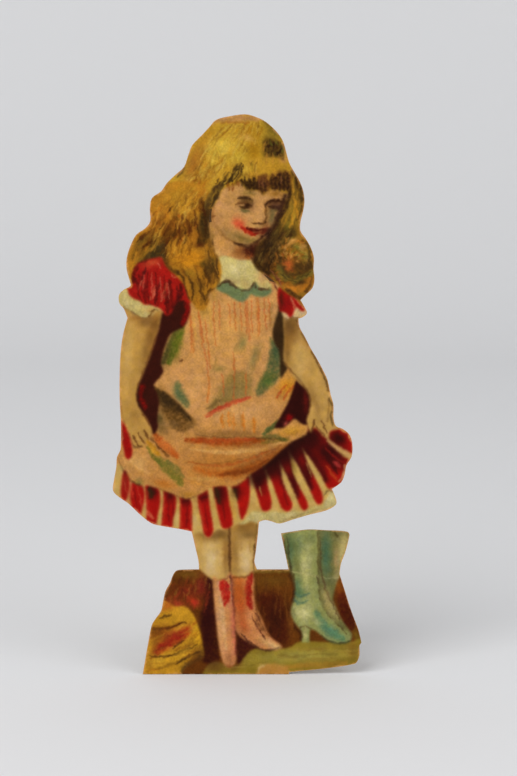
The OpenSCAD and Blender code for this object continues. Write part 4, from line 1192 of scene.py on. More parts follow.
def keyFlounce():
    at = ("flounce_stripes", "flounce")
    # deep shade where the skirt is drawn up to the right hand
    strokes(at, (
        ((50, 16, 15), 22, [256, 478, 274, 462, 294, 446, 312, 436], 0.85, 0.7, 0.3),
        ((40, 16, 14), 9, [266, 466, 286, 450, 308, 434], 0.7, 0.8, 0.3)))
    # right lobe, held up by the hand
    lobe = "flounce_stripes"
    ticks(lobe, (62, 15, 16), 12, (
        [294, 462, 302, 476, 309, 487], [282, 472, 290, 486, 295, 495],
        [306, 452, 316, 466, 324, 480]), 0.8, 0.7, 0.3)
    wash(at, (58, 15, 16), (330, 453), (15, 12), 35, 0.92)
    washes(lobe, (
        ((54, 16, 14), (338, 437), (9, 6), 30, 0.92), ((66, 16, 16), (337, 463), (9, 10), 40, 0.8)))
    strokes(lobe, (
        ((146, 28, 24), 2.6, [325, 448, 336, 458, 345, 463], 0.7, 0.7, 0.6),
        ((60, 16, 16), 4, [322, 450, 331, 463, 338, 474], 0.7, 0.7, 0.6),
        ((200, 66, 66), 4, [334, 462, 340, 467], 0.75, 0.8, 0.4),
        ((196, 78, 34), 2.6, [326, 466, 333, 475, 338, 482], 0.7, 0.7, 0.6)))
    strokes(at, (
        ((220, 176, 124), 4, [329, 442, 338, 448.6, 350, 455.6], 0.85, 0.6, 0.2),
        ((210, 168, 106), 2.8, [327, 428.6, 338, 428, 346.6, 432, 351, 440], 0.85, 0.6, 0.3)))
    stroke(lobe, (206, 186, 136), 3, [345, 465, 343.6, 474, 339, 482], 0.75, 0.7, 0.5)
    ticks("flounce_stripes", (44, 40, 20), 6, (
        [150, 488, 151, 497], [216, 489, 219, 502], [234, 490, 236, 500]), 0.75, 0.8, 0.3)
    ticks("flounce_stripes", (110, 16, 16), 1.8, (
        [133, 484, 137, 506], [168, 498, 169, 522], [173, 500, 173, 524], [187, 504, 187, 528],
        [205, 504, 208, 530], [222, 500, 225, 520], [280, 478, 288, 506]), 0.6)
    ticks("flounce_stripes", (218, 92, 70), 1.5, (
        [130, 480, 133, 498], [137, 486, 142, 508], [124, 480, 127, 494], [190, 506, 191, 530]), 0.6)
    ticks(("flounce", "flounce_stripes"), (206, 186, 110), 1.6, (
        [260, 486, 262, 496], [292, 466, 296, 478], [306, 462, 312, 478]), 0.6)
    wash("petticoat_hem", (222, 220, 188), (330, 499), (8, 8), 0, 0.65)
    stroke(("petticoat_hem", "flounce"), (116, 96, 62), 1.8, [324, 496, 328, 490, 333, 492], 0.7, 0.7, 0.6)


def keyShade():
    # darkness between the cheek and the curl
    for centre, radii, turn in (
            ((279, 238), (7, 12), 20), ((262, 257), (9, 13), -20), ((272, 252), (8, 10), 0),
            ((300, 283), (9, 3), -10)):
        wash("right_hair", (60, 42, 22), centre, radii, turn, 0.65)
    strands("right_hair", [(132, 106, 48), (40, 26, 16), (92, 62, 28)], [276, 226, 264, 244, 256, 262],
        [292, 230, 280, 250, 272, 272], 36, 1.6, 0.6, 0.8, 0, 65, 5)
    for area, centre, radii, tone in (
            ("pinafore_lap", (262, 446), (24, 4), (150, 96, 42)),
            ("flounce", (222, 506), (60, 6), (196, 152, 84))):
        wash(area, tone, centre, radii, 0, 0.5)


def keySleeves():
    at = "left_sleeve"
    wash(at, (150, 24, 24), (150, 285), (22, 24), 0, 0.45)
    ticks(at, (78, 20, 20), 3.2, (
        [135, 268, 140, 262, 147, 261], [146, 268, 142, 278, 141, 286], [160, 282, 157, 292, 155, 304],
        [177, 286, 178, 298, 174, 312], [133, 276, 138, 284]), 0.75)
    ticks(at, (226, 122, 100), 1.8, (
        [155, 288, 152, 300], [142, 280, 138, 290], [164, 290, 161, 302], [158, 263, 161, 268]), 0.7)
    wash("left_frill", (228, 216, 166), (128, 304), (10, 6), 30, 0.7)
    stroke("left_frill", (120, 96, 62), 1.8, [150, 312, 156, 310, 160, 314], 0.7, 0.7, 0.6)
    at = "right_sleeve"
    wash(at, (120, 18, 22), (287, 304), (6, 9), 20)
    stroke(at, (214, 120, 104), 1.6, [294, 302, 299, 312], 0.6, 0.7, 0.6)
    for at, lit, dim in (("left_arm", (128, 350), (146, 352)), ("right_arm", (300, 362), (288, 346))):
        wash(at, (224, 192, 128), lit, (6, 34), 4, 0.55)
        wash(at, (146, 108, 58), dim, (5, 30), 6, 0.6)
    wash("left_arm", (120, 84, 44), (144, 322), (10, 6))
    washes("right_arm", (
        ((104, 74, 40), (290, 324), (8, 9), -20, 0.7), ((150, 112, 62), (314, 400), (4, 18), -20, 0.5)))
    wash("left_arm", (150, 112, 60), (136, 416), (6, 12), -20, 0.5)
    ticks("left_sleeve", (84, 16, 14), 2.2, (
        [140, 272, 138, 290, 142, 304], [148, 270, 147, 288, 150, 306], [156, 272, 156, 290, 158, 308],
        [164, 276, 165, 292, 166, 308], [171, 282, 172, 296, 171, 308]), 0.6)
    ticks("left_sleeve", (228, 124, 106), 1.8, (
        [144, 274, 143, 290], [152, 273, 152, 292], [160, 277, 161, 295], [168, 283, 169, 299]), 0.55)


def keyFeet():
    for at, lit, dim in (("left_leg", (211, 560), (226, 556)), ("right_leg", (246, 560), (236, 556))):
        wash(at, (236, 218, 186), lit, (8, 18), 0, 0.8)
        wash(at, (150, 116, 64), dim, (3.4, 22), 0, 0.6)
        wash(at, (128, 98, 54), (lit[0] + 6, 535), (16, 6), 0, 0.75)
    ticks(("left_leg", "right_leg"), (88, 56, 30), 2, (
        [230, 530, 230, 552, 230, 574], [257, 536, 254, 556, 254, 572]), 0.7)
    ticks(("left_leg", "right_leg", "left_shoe", "right_shoe"), (110, 70, 38), 1.8, (
        [219, 579.6, 224, 579, 229.6, 576], [234, 576.4, 243, 577, 251, 575.6]), 0.6)
    ticks("right_leg", (170, 132, 76), 1.6, ([241, 536, 241, 552], [251, 536, 250, 552]), 0.5)
    at = "left_shoe"
    wash(at, (230, 190, 152), (220, 620), (5, 36), -3)
    stroke(at, (188, 36, 36), 3, [227, 582, 227, 596], 0.8, 0.7, 0.6)
    ticks(at, (224, 172, 144), 2, ([231, 582, 231.6, 594, 231, 606], [218.6, 580, 219.6, 600]), 0.75)
    strokes(at, (
        ((200, 110, 90), 5, [230, 600, 233.6, 625, 236, 648], 0.6, 0.9, 0.3),
        ((236, 202, 158), 4, [221, 600, 224, 628, 226, 648], 0.5, 0.9, 0.3),
        ((104, 42, 50), 2.4, [231, 578, 234, 604, 237, 634, 236, 656], 0.75, 0.8, 0.3)))
    at = "right_shoe"
    washes(at, (
        ((196, 98, 42), (240, 596), (7, 20), -8, 0.7), ((232, 194, 144), (268, 643), (13, 5), 30, 0.7),
        ((226, 160, 112), (252, 622), (5, 12), -26)))
    stroke(at, (170, 38, 30), 2.6, [251, 580, 250, 596], 0.8, 0.7, 0.6)
    ticks(at, (90, 42, 30), 1.8, (
        [252, 616, 258, 628, 264, 636], [255, 612, 260, 622], [262, 634, 266, 640]), 0.75)
    stroke(("right_shoe", "backdrop", "ground"), (60, 28, 22), 2.2, [240, 632, 252, 644, 266, 650, 281,
        647], 0.75, 0.7, 0.6)
    at = "front_boot"
    washes(at, (
        ((88, 122, 94), (290, 552), (5, 20), 4, 0.75), ((200, 204, 156), (309, 560), (4.4, 26)),
        ((84, 124, 98), (300, 594), (6, 8), -10, 0.75), ((206, 208, 160), (304, 612), (8, 14), 10),
        ((90, 140, 122), (331, 631), (15, 5), 34, 0.85), ((84, 124, 100), (300, 545), (4, 12), 0, 0.5),
        ((110, 112, 72), (294, 612), (3, 8)), ((196, 200, 152), (318, 622), (6, 4), 40)))
    ticks(at, (70, 56, 34), 2, (
        [287, 536, 290, 566, 293, 590, 292, 606], [317, 576, 322, 596, 334, 616, 346, 634],
        [300, 626, 302, 640]), 0.65)
    at = "rear_boot"
    washes(at, (
        ((70, 102, 78), (326, 556), (6, 22), 0, 0.8), ((208, 198, 150), (342, 550), (5, 18), 6, 0.75),
        ((176, 170, 120), (330, 606), (5, 16), -20), ((206, 196, 148), (341, 586), (5, 20), -8),
        ((196, 186, 136), (336, 612), (4, 10), -24, 0.5)))
    stroke(at, (88, 62, 38), 1.8, [320, 536, 321, 566, 326, 590, 340, 620], 0.7, 0.7, 0.6)
    washes("front_boot", (
        ((222, 222, 166), (304, 566), (4, 26), -6, 0.65), ((222, 224, 172), (302, 613), (11, 6), 24, 0.75),
        ((216, 210, 156), (305, 634), (2.6, 7), 0, 0.7)))
    ticks("front_boot", (80, 118, 104), 3, (
        [294, 592, 301, 596, 309, 593], [293, 599, 300, 603, 308, 600]), 0.75, 0.9, 0.6)
    stroke("front_boot", (54, 62, 44), 3, [318, 634, 330, 642, 342, 643.6, 351, 640], 0.8, 0.7, 0.5)
    washes("rear_boot", (
        ((84, 126, 104), (326, 552), (5, 22), 0, 0.7), ((204, 168, 128), (336, 560), (2.6, 14)),
        ((200, 182, 126), (327, 600), (4, 14), -10)))
    wash("right_shoe", (236, 206, 152), (276, 646), (7, 3.4), 15, 0.7)
    wash("left_shoe", (224, 124, 106), (234, 634), (3, 26), 0, 0.55)


def keyScene():
    at = "backdrop"
    washes(at, (
        ((132, 96, 34), (190, 574), (22, 5), 0, 0.7), ((128, 40, 28), (186, 592), (18, 10), -10, 0.7),
        ((52, 16, 18), (208, 620), (6, 40), 0, 0.85), ((118, 84, 28), (274, 580), (20, 8), 0, 0.7),
        ((62, 26, 16), (276, 618), (10, 22), 0, 0.8), ((136, 84, 34), (292, 620), (5, 14), 0, 0.7),
        ((132, 60, 26), (339, 590), (6, 14), -20)))
    strands(at, [(160, 60, 34), (70, 26, 16), (150, 110, 44)], [170, 578, 160, 604], [214, 574, 206, 612],
        40, 1.8, 0.5, 0.8, 0, 61, 5)
    strands(at, [(140, 90, 36), (54, 24, 14)], [256, 576, 258, 640], [298, 576, 298, 640], 40, 1.8, 0.4,
        0.8, 0, 62, 4)
    washes(at, (
        ((216, 56, 42), (194, 602), (7, 5), 30, 0.75), ((192, 70, 46), (178, 605), (10, 5), 20, 0.7),
        ((146, 40, 38), (201, 586), (6, 12), 0, 0.65)))
    at = "drape"
    washes(at, (
        ((150, 84, 26), (160, 634), (13, 9), -24, 0.7), ((232, 184, 40), (198, 630), (6, 18)),
        ((110, 62, 22), (196, 660), (9, 9), 0, 0.7), ((236, 196, 66), (158, 660), (12, 6), -24, 0.7)))
    ticks(at, (66, 40, 18), 2.6, (
        [152, 630, 168, 628, 184, 622], [150, 656, 168, 656, 186, 650, 198, 644],
        [176, 664, 188, 656, 200, 652], [160, 618, 172, 614], [172, 648, 184, 640]), 0.75)
    strands(at, [(110, 60, 20), (240, 200, 70), (150, 60, 24), (70, 40, 18)],
        [150, 636, 176, 622, 200, 606], [146, 672, 176, 664, 204, 650], 34, 2.3, 0.35, 1.0, 0, 63, 5)
    washes(at, (
        ((158, 44, 30), (172, 639), (18, 6.4), -36, 0.8), ((120, 68, 24), (157, 632), (9, 6), -20, 0.7),
        ((78, 46, 22), (200, 656), (7, 10), 10, 0.75), ((236, 190, 56), (186, 652), (10, 4), -30, 0.5)))
    washes("ground", (
        ((182, 182, 104), (300, 656), (52, 8), -3), ((92, 56, 30), (214, 662), (14, 8), 0, 0.7),
        ((120, 104, 42), (330, 664), (26, 4), -4, 0.4)))
    strands("ground", [(176, 160, 76), (120, 100, 40), (150, 120, 50)], [226, 650, 360, 648],
        [226, 668, 356, 660], 50, 1.5, 0.4, 0.6, 0, 64, 3)


keyPinafore()
keyFlounce()
keyShade()
keySleeves()
keyFeet()
keyScene()


# wear of the printed sheet: inks that run together, yellowed varnish, bare paper along the cut, grain
sheetWear = {
    "bleed": 2.4,           # how far the inks of two neighbours run together, in pixels
    "bleedCell": 0.8,
    "bleedReach": 3,        # cells to each side that take part
    "bleedWidth": 1.5,
    "seamMix": 0.95,        # share of the mixed ink right at a seam
    "softness": 0.40,       # share of the soft, screened look inside an area
    "evenSoftness": 0.62,   # the same in the smoothly printed areas
    "varnish": (0.868, 0.822, 0.715),  # the yellowed coat over all inks
    "bareRim": 1.9,         # unprinted paper that shows along the die cut
    "bareTone": (206, 152, 100),
    "bareStrength": 0.6,
    "grain": 0.07,
    "evenGrain": 0.4,       # share of the grain in the smoothly printed areas
    "cloud": 0.06,
    "yellowDrift": 0.06,    # the yellow ink lies unevenly
}
widerRims = {"left_hair": 2.6, "hair_crown": 2.4, "left_arm": 2.6, "left_frill": 2.2, "drape": 2.4,
             "left_leg": 2.2}


def softenSeams():
    cell, reach = sheetWear["bleedCell"], sheetWear["bleedReach"]
    spots = np.vstack([p["spots"] for p in prints.values()])
    inks = np.vstack([p["tone"] for p in prints.values()])
    low = spots.min(0) - 2 * reach * cell
    size = np.ceil((spots.max(0) - low) / cell).astype(int) + 2 * reach + 1
    place = (spots - low) / cell
    index = np.round(place).astype(int)
    flat = index[:, 1] * size[0] + index[:, 0]
    layers = [np.bincount(flat, minlength=size[0] * size[1]).astype(float)]
    layers += [np.bincount(flat, inks[:, k], size[0] * size[1]) for k in range(3)]
    kernel = np.exp(-(np.arange(-reach, reach + 1) / sheetWear["bleedWidth"]) ** 2)
    blurred = []
    for layer in layers:
        layer = layer.reshape(size[1], size[0])
        layer = sum(k * np.roll(layer, i - reach, axis=0) for i, k in enumerate(kernel))
        blurred.append(sum(k * np.roll(layer, i - reach, axis=1) for i, k in enumerate(kernel)))
    sheet = np.stack(blurred[1:], axis=2) / np.maximum(blurred[0], 1e-6)[:, :, None]
    for name, area in prints.items():
        place = (area["spots"] - low) / cell
        corner = np.floor(place).astype(int)
        part = place - corner
        mixed = 0
        for dx in (0, 1):
            for dy in (0, 1):
                share = np.abs(1 - dx - part[:, 0]) * np.abs(1 - dy - part[:, 1])
                mixed = mixed + share[:, None] * sheet[corner[:, 1] + dy, corner[:, 0] + dx]
        inner = sheetWear["evenSoftness" if name in evenAreas else "softness"]
        near = inner + (sheetWear["seamMix"] - inner) * smooth(1 - area["inset"] / sheetWear["bleed"])
        area["tone"] += near[:, None] * (mixed - area["tone"])


def ageArea(name):
    area = prints[name]
    spots = area["spots"]
    ragged = np.maximum(0.6 + 0.7 * mottle(spots, 6.0, 31) + 0.4 * mottle(spots, 1.9, 32), 0.05)
    bareRim = widerRims.get(name, sheetWear["bareRim"]) * ragged
    bare = sheetWear["bareStrength"] * smooth(1.2 - area["rim"] / bareRim)
    area["tone"] *= np.array(sheetWear["varnish"])
    area["tone"] += bare[:, None] * (np.array(sheetWear["bareTone"]) - area["tone"])
    grain = sheetWear["grain"] * (sheetWear["evenGrain"] if name in evenAreas else 1)
    change = 1 + grain * mottle(spots, 1.3, 33) + sheetWear["cloud"] * mottle(spots, 6.0, 34)
    area["tone"] *= change[:, None]
    area["tone"][:, 2] *= 1 + sheetWear["yellowDrift"] * mottle(spots, 3.1, 35)


softenSeams()
for name in printedAreas:
    ageArea(name)
print("sheet printed and worn")


# mesh object whose points carry the colour of the sheet
def sheetObject(name, verts, faces, tones, hardPairs=()):
    mesh = bpy.data.meshes.new(name)
    mesh.from_pydata(verts, [], faces)
    mesh.polygons.foreach_set("use_smooth", np.ones(len(mesh.polygons), bool))
    size = len(verts)
    ends = np.empty(len(mesh.edges) * 2, np.int32)
    mesh.edges.foreach_get("vertices", ends)
    ends = np.sort(ends.reshape(-1, 2), axis=1).astype(np.int64)
    hard = np.array([min(pair) * size + max(pair) for pair in hardPairs])
    sharp = mesh.attributes.new("sharp_edge", "BOOLEAN", "EDGE")
    sharp.data.foreach_set("value", np.isin(ends[:, 0] * size + ends[:, 1], hard))
    tones = np.clip(tones / 255, 0, 1)
    linear = np.where(tones <= 0.04045, tones / 12.92, ((tones + 0.055) / 1.055) ** 2.4)
    colour = mesh.color_attributes.new("print", "FLOAT_COLOR", "POINT")
    colour.data.foreach_set("color", np.column_stack((linear, np.ones(size))).astype(np.float32).ravel())
    piece = bpy.data.objects.new(name, mesh)
    scene.collection.objects.link(piece)
    return piece


# closed sheet over one outline: near is the height of each mesh point, far that of the other side
def closedSheet(name, area, place, near, far, twoFaced=False, flip=False):
    spots, tris = area["spots"], area["tris"]
    rims = rimPairs(tris)
    ring = sorted({a for pair in rims for a in pair})
    if twoFaced:
        farSpots, farTris, farTones = spots, tris, area["farTone"]
        below = {a: len(spots) + a for a in ring}
    else:
        index = {a: i for i, a in enumerate(ring)}
        farSpots, farTris = triangulate(spots[ring], [(index[a], index[b]) for a, b in rims], area["loops"])
        farTones = np.tile(card["bareTone"], (len(farSpots), 1))
        below = {a: len(spots) + i for a, i in index.items()}
    verts = np.vstack((place(spots, near), place(farSpots, np.broadcast_to(far, len(farSpots)))))
    faces = tris.tolist()
    faces += [(b, a, below[a], below[b]) for a, b in rims]
    faces += (farTris[:, ::-1] + len(spots)).tolist()
    if flip:
        faces = [face[::-1] for face in faces]
    hard = rims + [(below[a], below[b]) for a, b in rims]
    return sheetObject(name, verts, faces, np.vstack((area["tone"], farTones)), hard)


# one printed area with its embossing as real height
def pressArea(name, material):
    area = prints[name]
    rise = smooth(area["inset"] / card["creaseWidth"]) * smooth(area["inset"] / card["edgeRound"])
    crown = max(card["embossShare"] * area["emboss"] - card["edgeLift"], 0)
    height = card["edgeLift"] + crown * rise + area["relief"] * smooth(area["inset"] / card["reliefFade"])
    height = np.clip(height, card["thinnest"], area["emboss"])
    piece = closedSheet(name + "_print", area, lambda s, h: toWorld(s, coreFront - h), height, 0.0)
    piece.data.materials.append(material)
    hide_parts(name)
    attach(piece, "figure")


# node helpers for the materials; sizes of the patterns are in metres
def startMaterial(name, roughness, specular):
    material = bpy.data.materials.new(name)
    material.use_nodes = True
    shader = material.node_tree.nodes["Principled BSDF"]
    shader.inputs["Roughness"].default_value = roughness
    shader.inputs["Specular IOR Level"].default_value = specular
    return material, material.node_tree, shader


def noise(tree, grainSize, detail=2.0, stretch=(1, 1, 1)):
    place = tree.nodes.new("ShaderNodeTexCoord")
    spread = tree.nodes.new("ShaderNodeMapping")
    spread.inputs["Scale"].default_value = [1 / (grainSize * s) for s in stretch]
    tree.links.new(place.outputs["Object"], spread.inputs["Vector"])
    pattern = tree.nodes.new("ShaderNodeTexNoise")
    pattern.inputs["Scale"].default_value = 1.0
    pattern.inputs["Detail"].default_value = detail
    tree.links.new(spread.outputs["Vector"], pattern.inputs["Vector"])
    return pattern.outputs["Fac"]


def remap(tree, value, low, high, fromLow=0.3, fromHigh=0.7):
    step = tree.nodes.new("ShaderNodeMapRange")
    ends = {"From Min": fromLow, "From Max": fromHigh, "To Min": low, "To Max": high}
    for socket, number in ends.items():
        step.inputs[socket].default_value = number
    tree.links.new(value, step.inputs["Value"])
    return step.outputs["Result"]


def tint(tree, kind, share, one, other):
    mix = tree.nodes.new("ShaderNodeMix")
    mix.data_type = "RGBA"
    mix.blend_type = kind
    for socket, value in ((mix.inputs[0], share), (mix.inputs[6], one), (mix.inputs[7], other)):
        if isinstance(value, (int, float)):
            socket.default_value = value
        elif isinstance(value, tuple):
            socket.default_value = (*value, 1)
        else:
            tree.links.new(value, socket)
    return mix.outputs[2]


def addBump(tree, shader, height, strength, distance):
    bump = tree.nodes.new("ShaderNodeBump")
    bump.inputs["Strength"].default_value = strength
    bump.inputs["Distance"].default_value = distance
    tree.links.new(height, bump.inputs["Height"])
    tree.links.new(bump.outputs["Normal"], shader.inputs["Normal"])


def sheetColour(tree):
    ink = tree.nodes.new("ShaderNodeAttribute")
    ink.attribute_name = "print"
    return ink.outputs["Color"]


# stippled stone print under a thin, worn varnish
varnish = {"specular": 0.012, "cloud": 0.0016, "yellow": (0.97, 0.90, 0.72), "tooth": 0.00032,
           "toothStretch": (1, 1, 0.45), "toothStrength": 0.25, "toothDepth": 0.00004}


def lithoPrint(name, grainSize, contrast, yellowing, roughness):
    material, tree, shader = startMaterial(name, 0.5, varnish["specular"])
    stipple = noise(tree, grainSize, 2.0)
    cloud = noise(tree, varnish["cloud"], 3.0)
    ink = tint(tree, "MULTIPLY", 1.0, sheetColour(tree),
               remap(tree, stipple, 1 - contrast, 1 + contrast))
    ink = tint(tree, "MIX", remap(tree, cloud, 0.0, yellowing, 0.45, 0.75), ink,
               tint(tree, "MULTIPLY", 1.0, ink, varnish["yellow"]))
    tree.links.new(ink, shader.inputs["Base Color"])
    tree.links.new(remap(tree, cloud, *roughness), shader.inputs["Roughness"])
    tooth = noise(tree, varnish["tooth"], 3.0, varnish["toothStretch"])
    addBump(tree, shader, tooth, varnish["toothStrength"], varnish["toothDepth"])
    return material


# inks: areas, size of the stipple, its contrast, yellowing, least and most roughness
inks = {
    "hair_print": (("hair_crown", "left_hair", "right_hair", "fringe"), 0.00022, 0.040, 0.5, (0.40, 0.56)),
    "skin_print": (("face", "neck", "left_arm", "right_arm"), 0.00026, 0.028, 0.4, (0.44, 0.58)),
    "cream_print": (("collar", "left_frill", "right_frill", "petticoat_hem", "flounce"),
                    0.00026, 0.028, 0.6, (0.48, 0.64)),
    "red_print": (("left_sleeve", "right_sleeve", "flounce_stripes", "sash_end"),
                  0.00024, 0.048, 0.2, (0.38, 0.54)),
    "maroon_print": (("dress_left", "dress_right", "dress_gap"), 0.00024, 0.056, 0.2, (0.38, 0.54)),
    "pinafore_print": (("pinafore_bib", "pinafore_lap"), 0.00028, 0.032, 0.5, (0.46, 0.62)),
    "teal_print": (("collar_trim",), 0.00024, 0.040, 0.3, (0.44, 0.58)),
    "stocking_print": (("right_leg", "left_leg"), 0.00026, 0.016, 0.4, (0.46, 0.60)),
    "shoe_print": (("right_shoe", "left_shoe"), 0.00024, 0.036, 0.3, (0.40, 0.56)),
    "boot_print": (("rear_boot", "front_boot"), 0.00026, 0.036, 0.3, (0.42, 0.58)),
    "backdrop_print": (("backdrop",), 0.00028, 0.060, 0.3, (0.44, 0.60)),
    "ground_print": (("ground",), 0.00028, 0.044, 0.4, (0.46, 0.62)),
    "drape_print": (("drape",), 0.00026, 0.036, 0.4, (0.44, 0.60)),
}
for slot, (areas, *values) in inks.items():
    material = lithoPrint(slot, *values)
    for name in areas:
        pressArea(name, material)
print("areas embossed")


# pulp: specks, short fibres and a dull, soft surface
def pulpSheet(name, values):
    material, tree, shader = startMaterial(name, 0.9, 0.08)
    specks = noise(tree, values["speck"], 4.0)
    fibres = noise(tree, values["fibre"], 3.0, (4.0, 4.0, 0.5))
    across = noise(tree, values["fibre"], 3.0, (0.5, 0.5, 4.0))
    tone = tint(tree, "MULTIPLY", 1.0, sheetColour(tree), remap(tree, specks, 0.84, 1.12))
    tone = tint(tree, "MIX", remap(tree, fibres, 0.0, 0.35, 0.58, 0.74), tone,
                values["fibreTone"])
    tone = tint(tree, "MIX", remap(tree, across, 0.0, 0.3, 0.6, 0.76), tone,
                values["darkFibre"])
    tree.links.new(tone, shader.inputs["Base Color"])
    tree.links.new(remap(tree, specks, 0.82, 0.97), shader.inputs["Roughness"])
    addBump(tree, shader, fibres, 0.35, 0.00005)
    return material


# cut edge of the card: thin plies of pulp, browned and soft from handling
core = {"tone": (0.40, 0.30, 0.19), "dark": (0.17, 0.115, 0.065), "inked": (0.085, 0.045, 0.018),
        "ply": 0.00013, "pulp": 0.0007, "tooth": 0.00025, "toothStrength": 0.5, "toothDepth": 0.00006}


def dressCore():
    material, tree, shader = startMaterial("wornCardEdge", 0.9, 0.08)
    place = tree.nodes.new("ShaderNodeTexCoord")
    depth = tree.nodes.new("ShaderNodeVectorMath")
    depth.operation = "DOT_PRODUCT"
    depth.inputs[1].default_value = (0, leanCos / core["ply"], -leanSin / core["ply"])
    tree.links.new(place.outputs["Object"], depth.inputs[0])
    plies = tree.nodes.new("ShaderNodeTexNoise")
    plies.noise_dimensions = "1D"
    plies.inputs["Scale"].default_value = 1.0
    tree.links.new(depth.outputs["Value"], plies.inputs["W"])
    pulp = noise(tree, core["pulp"], 4.0)
    plyShare = remap(tree, plies.outputs["Fac"], 0.0, 0.7)
    tone = tint(tree, "MIX", plyShare, core["tone"], core["dark"])
    tone = tint(tree, "MULTIPLY", 1.0, tone, remap(tree, pulp, 0.75, 1.2))
    front = coreFront / core["ply"]     # ink has soaked into the core's front
    soaked = remap(tree, depth.outputs["Value"], 1.0, 0.0, front + 0.1, front + 0.3)
    tone = tint(tree, "MIX", soaked, tone, core["inked"])
    tree.links.new(tone, shader.inputs["Base Color"])
    tree.links.new(remap(tree, pulp, 0.82, 0.97), shader.inputs["Roughness"])
    tooth = noise(tree, core["tooth"], 3.0)
    addBump(tree, shader, tooth, core["toothStrength"], core["toothDepth"])
    for slot in frame["nodes"]["card_core"].material_slots:
        slot.material = material


dressCore()

# paper on the back, browned at the edges, with foxing, glue stains and scraps of an album page
lining = {
    "step": 1.5, "tone": (190, 168, 130), "edgeTone": (142, 112, 76), "edgeWidth": 7.0,
    "stains": 26, "stainTones": ((202, 184, 148), (172, 144, 102)), "foxing": 130, "foxTone": (136, 92, 52),
    "glueTone": (158, 124, 80), "glueLight": (176, 144, 98), "scrapTone": (206, 196, 172),
    "creaseTone": (150, 122, 84), "scrapLift": 0.00005, "creaseLift": -0.00004,
    "speck": 0.0009, "fibre": 0.00022, "fibreTone": (0.60, 0.50, 0.36), "darkFibre": (0.22, 0.15, 0.09),
}
lowerRoom = toSheet(nodePoints("back_lining"))[:, 2]
liningFront, liningBack = lowerRoom.min(), lowerRoom.max()


def printLining():
    at = "back_lining"
    area = prints[at] = layOut(at, lining["step"])
    spots = area["spots"]
    fill(at, lining["tone"])
    pick = np.random.default_rng(card["seed"] + 1)
    low, high = spots.min(0), spots.max(0)
    for i in range(lining["stains"]):  # broad stains
        wash(at, lining["stainTones"][i % 2], pick.uniform(low, high), pick.uniform(14, 46, 2),
             pick.uniform(0, 180), pick.uniform(0.2, 0.5))
    for i in range(lining["foxing"]):
        wash(at, lining["foxTone"], pick.uniform(low, high), pick.uniform(0.8, 3.4, 2), 0,
             pick.uniform(0.15, 0.6))
    corners = [(-30, -9), (-8, -12), (16, -9), (31, -11), (29, 10), (6, 8), (-14, 12), (-32, 8)]
    for middle, turn in (((200, 160), 12), ((262, 226), -8), ((160, 330), 70), ((310, 370), 104),
                         ((300, 610), 5), ((180, 470), 35)):  # glue spots with scraps of the album page
        c, s = math.cos(math.radians(turn)), math.sin(math.radians(turn))
        ring = [(middle[0] + x * c - y * s, middle[1] + x * s + y * c) for x, y in corners]
        patch(at, lining["glueTone"], ring, 0.55, 3)
        inner = [(middle[0] + (x - middle[0]) * 0.8, middle[1] + (y - middle[1]) * 0.8) for x, y in ring]
        patch(at, lining["glueLight"], inner, 0.5, 3)
        torn = [(middle[0] + (x - middle[0]) * pick.uniform(0.3, 0.75),
                 middle[1] + (y - middle[1]) * pick.uniform(0.3, 0.75)) for x, y in ring]
        patch(at, lining["scrapTone"], torn, 0.85, 0.9, lining["scrapLift"])
    for width, line, strength in ((2.2, [150, 566, 220, 570, 290, 572, 350, 577], 0.7),
                                  (1.6, [176, 250, 186, 262, 199, 268], 0.6)):
        stroke(at, lining["creaseTone"], width, line, strength, 0.6, 0, lining["creaseLift"])
    edge = smooth(1 - area["rim"] / (lining["edgeWidth"] * (0.8 + 0.5 * mottle(spots, 14, 41))))
    area["tone"] += 0.75 * edge[:, None] * (np.array(lining["edgeTone"]) - area["tone"])
    area["tone"] *= 1 + 0.05 * mottle(spots, 2.5, 42)[:, None]
    height = liningBack - liningFront + area["relief"] + 0.00002 * mottle(spots, 30, 43)
    height -= 0.00007 * smooth(1 - area["rim"] / 2.5)
    piece = closedSheet(at + "_paper", area, lambda s, h: toWorld(s, liningFront + h), height, 0.0,
                        flip=True)
    piece.data.materials.append(pulpSheet("agedLining", lining))
    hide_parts(at)
    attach(piece, "figure")


printLining()
print("card and lining dressed")

# easel: a pad glued to the lining and a wing that stands square to it, both of grey-brown board
easel = {
    "step": 2.0, "tone": (160, 134, 98), "edgeTone": (112, 86, 56), "edgeWidth": 4.0,
    "crush": 0.00012, "crushWidth": 1.6,
    "speck": 0.0006, "fibre": 0.0003, "fibreTone": (0.50, 0.40, 0.27), "darkFibre": (0.13, 0.09, 0.055),
}
easelBoard = pulpSheet("easelBoard", easel)


def ageBoard(area, key, seed):
    spots = area["spots"]
    tone = np.tile(np.array(easel["tone"], float), (len(spots), 1))
    worn = smooth(1 - area["inset"] / (easel["edgeWidth"] * (0.8 + 0.5 * mottle(spots, 9, seed))))
    tone += 0.7 * worn[:, None] * (np.array(easel["edgeTone"]) - tone)
    tone *= 1 + 0.07 * mottle(spots, 16, seed + 1)[:, None] + 0.05 * mottle(spots, 4, seed + 2)[:, None]
    area[key] = tone


def pressPad():
    area = layOut("easel_pad", easel["step"])
    depth = toSheet(nodePoints("easel_pad"))[:, 2]
    ageBoard(area, "tone", 51)
    crush = easel["crush"] * smooth(1 - area["inset"] / easel["crushWidth"])
    height = np.ptp(depth) - crush + 0.00002 * mottle(area["spots"], 8, 54)
    piece = closedSheet("easel_pad_board", area, lambda s, h: toWorld(s, depth.min() + h), height, 0.0,
                        flip=True)
    piece.data.materials.append(easelBoard)
    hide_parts("easel_pad")
    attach(piece, "figure")


pressPad()
hingeSpot = toSheet(np.array([hinge["pos_m"]]))[0]


